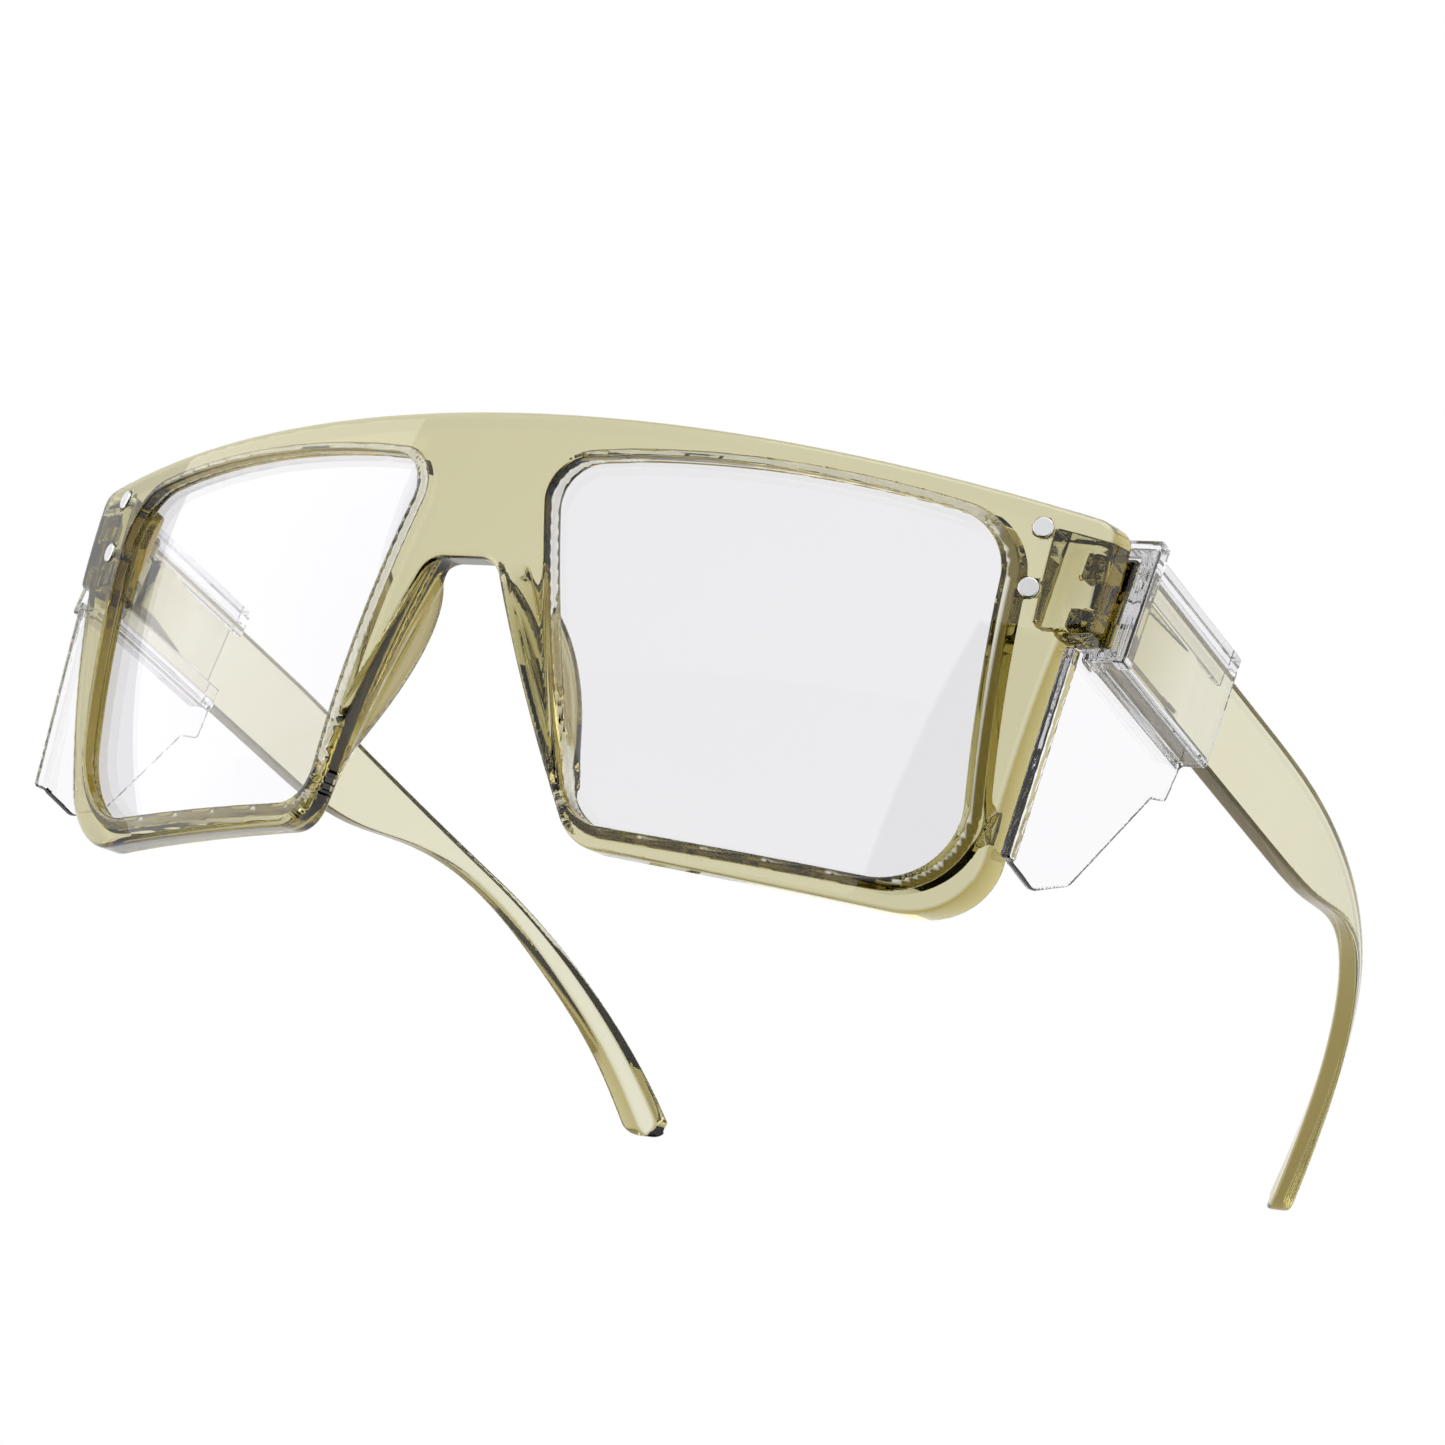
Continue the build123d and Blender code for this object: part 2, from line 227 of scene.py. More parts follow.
def smooth_through(
    points: list[Point2], step: float, ends: tuple[Point2, Point2] | None = None
) -> np.ndarray:
    """Smooth curve through a row of points.

    Args:
        points: The points, in order.
        step: Spacing of the new points.
        ends: Directions at the two ends; natural ends without them.

    Returns:
        Points along the curve, both ends among them.
    """
    p = np.array(points, dtype=float)
    run = np.concatenate([[0], np.cumsum(np.linalg.norm(np.diff(p, axis=0), axis=1))])
    n = len(p)
    gap = np.diff(run)
    grid = np.zeros((n, n))
    want = np.zeros((n, 2))
    for i in range(1, n - 1):
        grid[i, i - 1:i + 2] = 1 / gap[i - 1], 2 * (1 / gap[i - 1] + 1 / gap[i]), 1 / gap[i]
        want[i] = 3 * ((p[i] - p[i - 1]) / gap[i - 1] ** 2 + (p[i + 1] - p[i]) / gap[i] ** 2)
    grid[0, :2], want[0] = (2, 1), 3 * (p[1] - p[0]) / gap[0]
    grid[-1, -2:], want[-1] = (1, 2), 3 * (p[-1] - p[-2]) / gap[-1]
    if ends:
        for row, way in ((0, ends[0]), (-1, ends[1])):
            grid[row] = 0
            grid[row, row] = 1
            want[row] = np.array(way) / np.linalg.norm(way)
    slopes = np.linalg.solve(grid, want)
    made = []
    for i in range(n - 1):
        count = max(2, round(gap[i] / step))
        for t in np.arange(count) / count:
            a, b = (1 + 2 * t) * (1 - t) ** 2, t * (1 - t) ** 2
            c, d = t * t * (3 - 2 * t), t * t * (t - 1)
            made.append(a * p[i] + b * gap[i] * slopes[i] + c * p[i + 1] + d * gap[i] * slopes[i + 1])
    made.append(p[-1])
    return np.array(made)


def tangent_arc(start: Point2, way: Point2, end: Point2, step: float) -> tuple[list[Point2], Point2]:
    """Arc that leaves one point in a direction and meets another.

    Args:
        start: First end.
        way: Direction there.
        end: Last end.
        step: Spacing of the points.

    Returns:
        The points between the ends, and the direction at the last end.
    """
    a, b, t = np.array(start), np.array(end), np.array(way) / np.linalg.norm(way)
    chord = b - a
    side = np.array([-t[1], t[0]])
    radius = (chord @ chord) / (2 * (chord @ side))
    centre = a + side * radius
    middle_way = chord / np.linalg.norm(chord)
    arm = a - centre + b - centre
    half = centre + np.linalg.norm(a - centre) * (arm / np.linalg.norm(arm))
    last = 2 * (t @ middle_way) * middle_way - t
    return arc_points(start, (float(half[0]), float(half[1])), end, step), (float(last[0]), float(last[1]))


@dataclass
class Outline:
    """Closed flat outline, kept as a table of signed distances that is read between its nodes.

    Attributes:
        loop: Points round the outline.
        step: Spacing of the table's nodes.
        reach: Distance beyond which the outline is not felt.
    """

    loop: np.ndarray
    step: float = 0.1
    reach: float = 4.0
    low: np.ndarray = field(init=False)
    table: np.ndarray = field(init=False)

    def __post_init__(self) -> None:
        """Fills the table: nearest distance to any side, then the sign row by row."""
        self.low = self.loop.min(axis=0) - self.reach
        shape = np.ceil((self.loop.max(axis=0) + self.reach - self.low) / self.step).astype(int) + 1
        xs = self.low[0] + np.arange(shape[0]) * self.step
        ys = self.low[1] + np.arange(shape[1]) * self.step
        near = np.full(shape, self.reach)
        crossed = np.zeros((shape[0] + 1, shape[1]), dtype=int)
        for a, b in zip(self.loop, np.roll(self.loop, -1, axis=0)):
            x0, x1 = sorted((a[0], b[0]))
            y0, y1 = sorted((a[1], b[1]))
            i = slice(*np.searchsorted(xs, (x0 - self.reach, x1 + self.reach)))
            j = slice(*np.searchsorted(ys, (y0 - self.reach, y1 + self.reach)))
            side = b - a
            dx, dy = xs[i, None] - a[0], ys[None, j] - a[1]
            t = np.clip((dx * side[0] + dy * side[1]) / max(side @ side, 1e-12), 0, 1)
            near[i, j] = np.minimum(near[i, j], np.hypot(dx - t * side[0], dy - t * side[1]))
            rows = np.nonzero((ys >= y0) & (ys < y1))[0]
            at = a[0] + side[0] * (ys[rows] - a[1]) / (side[1] if side[1] else 1.0)
            np.add.at(crossed, (np.searchsorted(xs, at), rows), 1)
        inside = np.cumsum(crossed[:-1], axis=0) % 2 == 1
        self.table = np.where(inside, -near, near)

    def at(self, u: np.ndarray, v: np.ndarray) -> np.ndarray:
        """Signed distances at the given places.

        Args:
            u: First coordinates.
            v: Second coordinates.

        Returns:
            Signed distances, negative inside.
        """
        x = np.clip((u - self.low[0]) / self.step, 0, self.table.shape[0] - 1.001)
        y = np.clip((v - self.low[1]) / self.step, 0, self.table.shape[1] - 1.001)
        i, j = x.astype(int), y.astype(int)
        x, y = x - i, y - j
        t = self.table
        near = t[i, j] * (1 - x) + t[i + 1, j] * x
        far = t[i, j + 1] * (1 - x) + t[i + 1, j + 1] * x
        return near * (1 - y) + far * y


# --------------------------------------------------------------------------------------------
# Skins: meshes drawn over a solid
# --------------------------------------------------------------------------------------------


@dataclass
class Skin:
    """Mesh data in millimetres, with the solid's own normals."""

    points: np.ndarray
    normals: np.ndarray
    faces: np.ndarray

    def mirrored(self) -> "Skin":
        """The same skin on the other side of the middle plane."""
        flip = np.array([-1.0, 1.0, 1.0])
        return Skin(self.points * flip, self.normals * flip, self.faces[:, ::-1])

    def on(self, side: Side) -> "Skin":
        """This skin if the side is the left, or its mirror image."""
        return self if side is Side.LEFT else self.mirrored()

    def to_object(self, name: str, material: bpy.types.Material) -> bpy.types.Object:
        """Makes the Blender object.

        Args:
            name: The object's name.
            material: Its material.

        Returns:
            The new object, in metres.
        """
        mesh = bpy.data.meshes.new(name)
        mesh.from_pydata((self.points * MM).tolist(), [], self.faces.tolist())
        mesh.polygons.foreach_set("use_smooth", np.ones(len(mesh.polygons), dtype=bool))
        mesh.update()
        mesh.normals_split_custom_set_from_vertices(self.normals.tolist())
        mesh.materials.append(material)
        made = bpy.data.objects.new(name, mesh)
        bpy.context.scene.collection.objects.link(made)
        return made


def left_half(p: np.ndarray) -> np.ndarray:
    """The points, those on the right moved to their mirror places on the left."""
    return np.stack([np.abs(p[:, 0]), p[:, 1], p[:, 2]], axis=-1)


def grid(*axes: np.ndarray) -> np.ndarray:
    """Lattice of points at all combinations of three rows of readings."""
    return np.stack(np.meshgrid(*axes, indexing="ij"), axis=-1)


def slope(solid: Solid, p: np.ndarray, step: float) -> np.ndarray:
    """Gradient of a solid's distance.

    Args:
        solid: The solid.
        p: Points, one per row.
        step: Half the distance between the two readings of each direction.

    Returns:
        The gradient at each point.
    """
    parts = []
    for axis in range(3):
        shift = np.zeros(3)
        shift[axis] = step
        parts.append((solid(p + shift) - solid(p - shift)) / (2 * step))
    return np.stack(parts, axis=-1)


CORNERS = np.array([(i, j, k) for i in (0, 1) for j in (0, 1) for k in (0, 1)])
EDGES = [(a, b) for a in range(8) for b in range(a + 1, 8) if np.abs(CORNERS[a] - CORNERS[b]).sum() == 1]


def skin_over(solid: Solid, nodes: np.ndarray, both_halves: bool = False) -> Skin:
    """Draws a closed skin over a solid, with one point in each cell that its surface passes.

    Args:
        solid: The solid.
        nodes: Lattice of points, indexed by three counts, that encloses the solid.
        both_halves: Whether the lattice is the half with X from 0, to be completed by its mirror image.

    Returns:
        The skin, with its points on the solid's surface.
    """
    shape = nodes.shape[:3]
    value = solid(nodes.reshape(-1, 3)).reshape(shape)
    if both_halves:
        value = np.concatenate([value[:0:-1], value])
        nodes = np.concatenate([nodes[:0:-1] * np.array([-1.0, 1.0, 1.0]), nodes])
        shape = nodes.shape[:3]
    inside = value < 0
    cells = tuple(n - 1 for n in shape)
    count = np.zeros(cells, dtype=int)
    for i, j, k in CORNERS:
        count += inside[i:i + cells[0], j:j + cells[1], k:k + cells[2]]
    passed = np.argwhere((count > 0) & (count < 8))
    total = np.zeros((len(passed), 3))
    hits = np.zeros(len(passed))
    for a, b in EDGES:
        first, last = tuple((passed + CORNERS[a]).T), tuple((passed + CORNERS[b]).T)
        fa, fb = value[first], value[last]
        crossing = (fa < 0) != (fb < 0)
        t = np.where(crossing, fa / np.where(crossing, fa - fb, 1), 0)[:, None]
        total += np.where(crossing[:, None], nodes[first] * (1 - t) + nodes[last] * t, 0)
        hits += crossing
    points = total / hits[:, None]
    number = np.full(cells, -1)
    number[tuple(passed.T)] = np.arange(len(passed))
    quads = []
    for axis in range(3):
        one, two = [n for n in range(3) if n != axis]
        near = [slice(1, -1)] * 3
        near[axis] = slice(0, -1)
        far = list(near)
        far[axis] = slice(1, None)
        start, end = inside[tuple(near)], inside[tuple(far)]
        for here, way in ((start & ~end, 1), (~start & end, -1)):
            at = np.argwhere(here)
            at[:, one] += 1
            at[:, two] += 1
            ring = []
            for d1, d2 in ((-1, -1), (0, -1), (0, 0), (-1, 0)):
                cell = at.copy()
                cell[:, one] += d1
                cell[:, two] += d2
                ring.append(number[tuple(cell.T)])
            quad = np.stack(ring, axis=-1)
            quads.append(quad[:, ::way * (-1 if axis == 1 else 1)])
    faces = np.concatenate(quads)
    faces = faces[(faces >= 0).all(axis=1)]

    def held(p: np.ndarray) -> np.ndarray:
        """The solid, read on the half that the lattice covers."""
        return solid(left_half(p) if both_halves else p)

    for _ in range(4):
        up = slope(held, points, 0.05)
        steep = np.maximum((up**2).sum(axis=1), 0.2)
        points = points - up * np.clip(held(points) / steep, -0.3, 0.3)[:, None]
    up = slope(held, points, 0.08)
    normals = up / np.maximum(np.linalg.norm(up, axis=1), 1e-6)[:, None]
    a, b, c = points[faces[:, 0]], points[faces[:, 1]], points[faces[:, 2]]
    if np.einsum("ij,ij->", a, np.cross(b, c)) < 0:
        faces = faces[:, ::-1]
    return Skin(points, normals, faces)


def ladder(*spans: Point3) -> np.ndarray:
    """Readings along one direction, each span with its own spacing.

    Args:
        spans: First value, last value and spacing of each span, in order.

    Returns:
        The readings, without repeats.
    """
    runs = [np.linspace(a, b, max(2, round((b - a) / step) + 1)) for a, b, step in spans]
    return np.unique(np.round(np.concatenate(runs), 6))


# --------------------------------------------------------------------------------------------
# Finishes
# --------------------------------------------------------------------------------------------


def add_node(tree: bpy.types.NodeTree, kind: str, values: dict[str, float] | None = None) -> bpy.types.Node:
    """Adds a node and sets some of its inputs.

    Args:
        tree: The tree that gets the node.
        kind: The node's type.
        values: Input values by name.

    Returns:
        The new node.
    """
    made = tree.nodes.new(kind)
    for name, value in (values or {}).items():
        made.inputs[name].default_value = value
    return made


def add_blend(tree: bpy.types.NodeTree, ends: Box3 | None = None) -> bpy.types.Node:
    """Adds a node that blends two colours, with its inputs A and B set to the ends that are given."""
    made = add_node(tree, "ShaderNodeMix")
    made.data_type = "RGBA"
    for name, color in zip("AB", ends or ()):
        made.inputs[name].default_value = (*color, 1.0)
    return made


def wire(tree: bpy.types.NodeTree, *wires: tuple[bpy.types.Node, str, bpy.types.Node, str | int]) -> None:
    """Links nodes, each wire from an output of one node to an input of another."""
    for start, output, end, entry in wires:
        tree.links.new(start.outputs[output], end.inputs[entry])


@dataclass(frozen=True)
class NodeGroup:
    """Shader group that several finishes share."""

    name: str

    def build(self) -> bpy.types.ShaderNodeTree:
        """Makes the group on first use and returns it."""
        found = bpy.data.node_groups.get(self.name)
        if found is not None:
            return found
        tree = bpy.data.node_groups.new(self.name, "ShaderNodeTree")
        self.fill(tree)
        return tree

    def fill(self, tree: bpy.types.ShaderNodeTree) -> None:
        """Adds the group's sockets and nodes."""
        raise NotImplementedError

    @staticmethod
    def socket(tree: bpy.types.ShaderNodeTree, name: str, way: str, kind: str, value: object = None) -> None:
        """Adds one socket.

        Args:
            tree: The group.
            name: The socket's name.
            way: INPUT or OUTPUT.
            kind: Float or Color.
            value: Default value of an input.
        """
        made = tree.interface.new_socket(name=name, in_out=way, socket_type=f"NodeSocket{kind}")
        if value is not None:
            made.default_value = value


@dataclass(frozen=True)
class MouldedSurface(NodeGroup):
    """Slow ripples and faint handling haze of a polished moulding."""

    name: str = "moulded_surface"

    def fill(self, tree: bpy.types.ShaderNodeTree) -> None:
        """Adds ripple height, haze roughness and a tint mask."""
        self.socket(tree, "Ripple Scale", "INPUT", "Float", 60.0)
        self.socket(tree, "Haze Scale", "INPUT", "Float", 180.0)
        self.socket(tree, "Clear Roughness", "INPUT", "Float", 0.01)
        self.socket(tree, "Haze Roughness", "INPUT", "Float", 0.05)
        self.socket(tree, "Height", "OUTPUT", "Float")
        self.socket(tree, "Roughness", "OUTPUT", "Float")
        self.socket(tree, "Tint", "OUTPUT", "Float")
        given, out = add_node(tree, "NodeGroupInput"), add_node(tree, "NodeGroupOutput")
        place = add_node(tree, "ShaderNodeTexCoord")
        ripple = add_node(tree, "ShaderNodeTexNoise", {"Detail": 1.0})
        haze = add_node(tree, "ShaderNodeTexNoise", {"Detail": 6.0, "Roughness": 0.6})
        level = add_node(tree, "ShaderNodeMapRange", {"From Min": 0.45, "From Max": 0.8})
        wire(
            tree,
            (place, "Object", ripple, "Vector"),
            (given, "Ripple Scale", ripple, "Scale"),
            (place, "Object", haze, "Vector"),
            (given, "Haze Scale", haze, "Scale"),
            (haze, "Fac", level, "Value"),
            (given, "Clear Roughness", level, "To Min"),
            (given, "Haze Roughness", level, "To Max"),
            (ripple, "Fac", out, "Height"),
            (level, "Result", out, "Roughness"),
            (ripple, "Fac", out, "Tint"),
        )


@dataclass(frozen=True)
class EdgeShade(NodeGroup):
    """Painted shade: a darker tint on the narrow edge walls and a darker one still in the lens grooves.

    Attributes:
        turned: How squarely the surface faces across the sheet where the painted edge shade starts and is
            full.
    """

    name: str = "edge_shade"
    turned: Point2 = (0.62, 0.2)

    def fill(self, tree: bpy.types.ShaderNodeTree) -> None:
        """Paints shade: darkens the face colour towards the edge colour as the surface turns away from the
        sheet's normal, then towards the groove shade colour by the groove attribute.
        """
        self.socket(tree, "Across", "INPUT", "Vector", (0.0, 1.0, 0.0))
        self.socket(tree, "Face Color", "INPUT", "Color", (1.0, 1.0, 1.0, 1.0))
        self.socket(tree, "Edge Color", "INPUT", "Color", (0.5, 0.4, 0.1, 1.0))
        # Painted shade colour for the lens grooves.
        self.socket(tree, "Groove Shade Color", "INPUT", "Color", (0.05, 0.032, 0.002, 1.0))
        self.socket(tree, "Color", "OUTPUT", "Color")
        given, out = add_node(tree, "NodeGroupInput"), add_node(tree, "NodeGroupOutput")
        place = add_node(tree, "ShaderNodeTexCoord")
        facing = add_node(tree, "ShaderNodeVectorMath")
        facing.operation = "DOT_PRODUCT"
        size = add_node(tree, "ShaderNodeMath")
        size.operation = "ABSOLUTE"
        level = add_node(tree, "ShaderNodeMapRange", dict(zip(("From Min", "From Max"), self.turned)))
        level.interpolation_type = "SMOOTHSTEP"
        # Painted shade: blend towards the edge colour on edge walls, then towards the groove shade colour in
        # the grooves.
        edge_shade_mix, groove_shade_mix = add_blend(tree), add_blend(tree)
        # Reads the painted groove shade stored on the frame's points.
        deep = add_node(tree, "ShaderNodeAttribute")
        deep.attribute_name = GROOVE_SHADE
        wire(
            tree,
            (place, "Normal", facing, 0),
            (given, "Across", facing, 1),
            (facing, "Value", size, 0),
            (size, "Value", level, "Value"),
            (level, "Result", edge_shade_mix, "Factor"),
            (given, "Face Color", edge_shade_mix, "A"),
            (given, "Edge Color", edge_shade_mix, "B"),
            (deep, "Fac", groove_shade_mix, "Factor"),
            (edge_shade_mix, "Result", groove_shade_mix, "A"),
            (given, "Groove Shade Color", groove_shade_mix, "B"),
            (groove_shade_mix, "Result", out, "Color"),
        )


@dataclass(frozen=True)
class ClearPlastic:
    """Polished see-through plastic that takes its colour from its own thickness.

    Attributes:
        name: Material name.
        ior: Refractive index.
        surface: Two surface tints that the moulding drifts between.
        absorb: Colour that the body of the plastic lets through best.
        density: How strongly the body absorbs, per metre.
        ripple: Height of the moulding ripples, in metres.
        rough: Roughness where clean and where hazy.
        edge: Colour of the painted shade on the edge walls, or None for plain ones.
        across: Direction across the sheet.
    """

    name: str
    ior: float
    surface: Box3
    absorb: Point3
    density: float
    ripple: float = 0.00001
    rough: Point2 = (0.0, 0.04)
    edge: Point3 | None = None
    across: Point3 = (0.0, 1.0, 0.0)

    def make(self) -> bpy.types.Material:
        """Makes the material."""
        made = bpy.data.materials.new(self.name)
        made.use_nodes = True
        tree = made.node_tree
        tree.nodes.clear()
        out = add_node(tree, "ShaderNodeOutputMaterial")
        looks = {"Transmission Weight": 1.0, "IOR": self.ior, "Metallic": 0.0}
        shader = add_node(tree, "ShaderNodeBsdfPrincipled", looks)
        colored = {"Color": (*self.absorb, 1.0), "Density": self.density}
        body = add_node(tree, "ShaderNodeVolumeAbsorption", colored)
        surface = add_node(tree, "ShaderNodeGroup")
        surface.node_tree = MouldedSurface().build()
        surface.inputs["Clear Roughness"].default_value = self.rough[0]
        surface.inputs["Haze Roughness"].default_value = self.rough[1]
        tint = add_blend(tree, self.surface)
        bump = add_node(tree, "ShaderNodeBump", {"Distance": self.ripple})
        color = (tint, "Result")
        # Painted shade on the edge walls and in the lens grooves.
        if self.edge is not None:
            shade = add_node(tree, "ShaderNodeGroup")
            shade.node_tree = EdgeShade().build()
            shade.inputs["Across"].default_value = self.across
            shade.inputs["Edge Color"].default_value = (*self.edge, 1.0)
            wire(tree, (*color, shade, "Face Color"))
            color = (shade, "Color")
        wire(
            tree,
            (surface, "Tint", tint, "Factor"),
            (*color, shader, "Base Color"),
            (surface, "Roughness", shader, "Roughness"),
            (surface, "Height", bump, "Height"),
            (bump, "Normal", shader, "Normal"),
            (shader, "BSDF", out, "Surface"),
            (body, "Volume", out, "Volume"),
        )
        return made


@dataclass(frozen=True)
class TurnedSteel:
    """Bright steel with fine turning marks.

    Attributes:
        name: Material name.
        color: Metal colour.
        rough: Roughness between and on the marks.
    """

    name: str = "turned_steel"
    color: Point3 = (0.78, 0.78, 0.8)
    rough: Point2 = (0.12, 0.3)

    def make(self) -> bpy.types.Material:
        """Makes the material."""
        made = bpy.data.materials.new(self.name)
        made.use_nodes = True
        tree = made.node_tree
        shader = tree.nodes["Principled BSDF"]
        shader.inputs["Metallic"].default_value = 1.0
        place = add_node(tree, "ShaderNodeTexCoord")
        grain = add_node(tree, "ShaderNodeTexNoise", {"Scale": 2500.0, "Detail": 3.0})
        level = add_node(tree, "ShaderNodeMapRange", dict(zip(("To Min", "To Max"), self.rough)))
        tone = add_blend(tree, (tuple(c * 0.85 for c in self.color), self.color))
        bump = add_node(tree, "ShaderNodeBump", {"Distance": 0.000004})
        wire(
            tree,
            (place, "Object", grain, "Vector"),
            (grain, "Fac", level, "Value"),
            (grain, "Fac", tone, "Factor"),
            (grain, "Fac", bump, "Height"),
            (level, "Result", shader, "Roughness"),
            (tone, "Result", shader, "Base Color"),
            (bump, "Normal", shader, "Normal"),
        )
        return made


OLIVE = (0.58, 0.53, 0.13)
# The edge colours of the frame and temple plastics are painted shade on their edge walls.
OLIVE_FRONT = ClearPlastic(
    "olive_plastic", 1.5, ((1.0, 1.0, 0.99), (0.99, 0.985, 0.96)), OLIVE, 230.0, edge=(0.4, 0.31, 0.06)
)
OLIVE_TEMPLE = ClearPlastic(
    "olive_temple_plastic", 1.5, ((1.0, 1.0, 0.99), (0.97, 0.96, 0.92)), OLIVE, 210.0,
    edge=(0.38, 0.31, 0.1), across=(1.0, 0.0, 0.0)
)
LENS_PLASTIC = ClearPlastic(
    "lens_plastic", 1.585, ((1.0, 1.0, 1.0), (0.985, 0.985, 1.0)), (0.48, 0.46, 0.5), 150.0,
    ripple=0.000002, rough=(0.0, 0.01)
)
SHIELD_PLASTIC = ClearPlastic(
    "shield_plastic", 1.585, ((0.98, 0.978, 0.99), (0.965, 0.96, 0.98)), (0.75, 0.75, 0.76), 60.0
)


# --------------------------------------------------------------------------------------------
# The front: frame and lenses
# --------------------------------------------------------------------------------------------


@dataclass(frozen=True)
class FrontCurve:
    """Double-curved surface that the whole front follows.

    Attributes:
        tilt: Tilt of the front, in degrees.
        wide: Radius seen from above.
        tall: Radius seen from the side.
        front: Y of the foremost line.
        height: Z of the foremost line.
    """

    tilt: float = 16.0
    wide: float = 160.0
    tall: float = 120.0
    front: float = -4.15
    height: float = 26.7

    def plan(self, p: np.ndarray) -> tuple[np.ndarray, np.ndarray]:
        """Place of each point on the tilted drawing plane."""
        turn = math.radians(self.tilt)
        return p[..., 0], p[..., 2] * math.cos(turn) - p[..., 1] * math.sin(turn)

    def depth(self, p: np.ndarray) -> np.ndarray:
        """Depth of each point behind the front surface."""
        around = np.hypot(p[..., 0], self.front + self.wide - p[..., 1])
        return self.tall - np.hypot(around - (self.wide - self.tall), p[..., 2] - self.height)

    def lattice(self, us: np.ndarray, vs: np.ndarray, depths: np.ndarray) -> np.ndarray:
        """Points at all combinations of two plan coordinates and a depth.

        Args:
            us: First plan coordinates.
            vs: Second plan coordinates.
            depths: Depths behind the front surface.

        Returns:
            The points, indexed by the three counts.
        """
        turn = math.radians(self.tilt)
        u, v, d = np.meshgrid(us, vs, depths, indexing="ij")
        back = np.zeros_like(u)
        for _ in range(12):
            p = self.point(u, v, back, turn)
            step = self.depth(self.point(u, v, back + 0.01, turn)) - self.depth(p)
            back = back + (d - self.depth(p)) / np.maximum(step / 0.01, 0.4)
        return self.point(u, v, back, turn)

    @staticmethod
    def point(u: np.ndarray, v: np.ndarray, back: np.ndarray, turn: float) -> np.ndarray:
        """Point at plan coordinates and a distance behind the drawing plane."""
        c, s = math.cos(turn), math.sin(turn)
        return np.stack([u, back * c - v * s, v * c + back * s], axis=-1)

    def facing(self, x: float, z: float) -> tuple[Vector, Vector]:
        """Point of the front surface at X and Z, and its outward normal.

        Args:
            x: X of the point.
            z: Z of the point.

        Returns:
            The point and the normal.
        """
        rise = math.asin((z - self.height) / self.tall)
        around = self.wide - self.tall + self.tall * math.cos(rise)
        turn = math.asin(x / around)
        normal = Vector((math.sin(turn) * math.cos(rise), -math.cos(turn) * math.cos(rise), math.sin(rise)))
        return Vector((x, self.front + self.wide - around * math.cos(turn), z)), normal


@dataclass(frozen=True)
class HingeSizes:
    """Sizes that the front and the temples share at their hinge.

    Attributes:
        axis: X and Y of the hinge axis.
        barrel: Radius of the barrels.
        low: Z span of the front's lower barrel.
        middle: Z span of the temple's barrel.
        top: Z span of the front's upper barrel.
        arm: Plan corners of the arm that carries each of the front's barrels.
        screw: Radius of the screw's shank.
        head: Radius of the screw's head.
        head_height: Height of the screw's head.
    """

    axis: Point2 = (71.0, 22.0)
    barrel: float = 2.1
    low: Point2 = (4.6, 7.4)
    middle: Point2 = (7.5, 11.2)
    top: Point2 = (11.3, 14.2)
    arm: tuple[Point2, Point2] = ((68.9, 19.1), (73.1, 22.0))
    screw: float = 0.7
    head: float = 1.2
    head_height: float = 0.7


@dataclass(frozen=True)
class PadSizes:
    """Sizes of a moulded nose pad.

    Attributes:
        foot: Upper end of its root line on the drawing plane.
        way: Direction of the root line.
        root: Depth at which the pad leaves the rim.
        thick: Thickness.
        splay: Degrees that it opens outwards towards the face.
        edge: Rounding of its edges.
    """

    foot: Point2 = (4.6, 0.0)
    way: Point2 = (15.0, -32.0)
    root: float = 3.2
    thick: float = 2.2
    splay: float = 12.0
    edge: float = 0.7


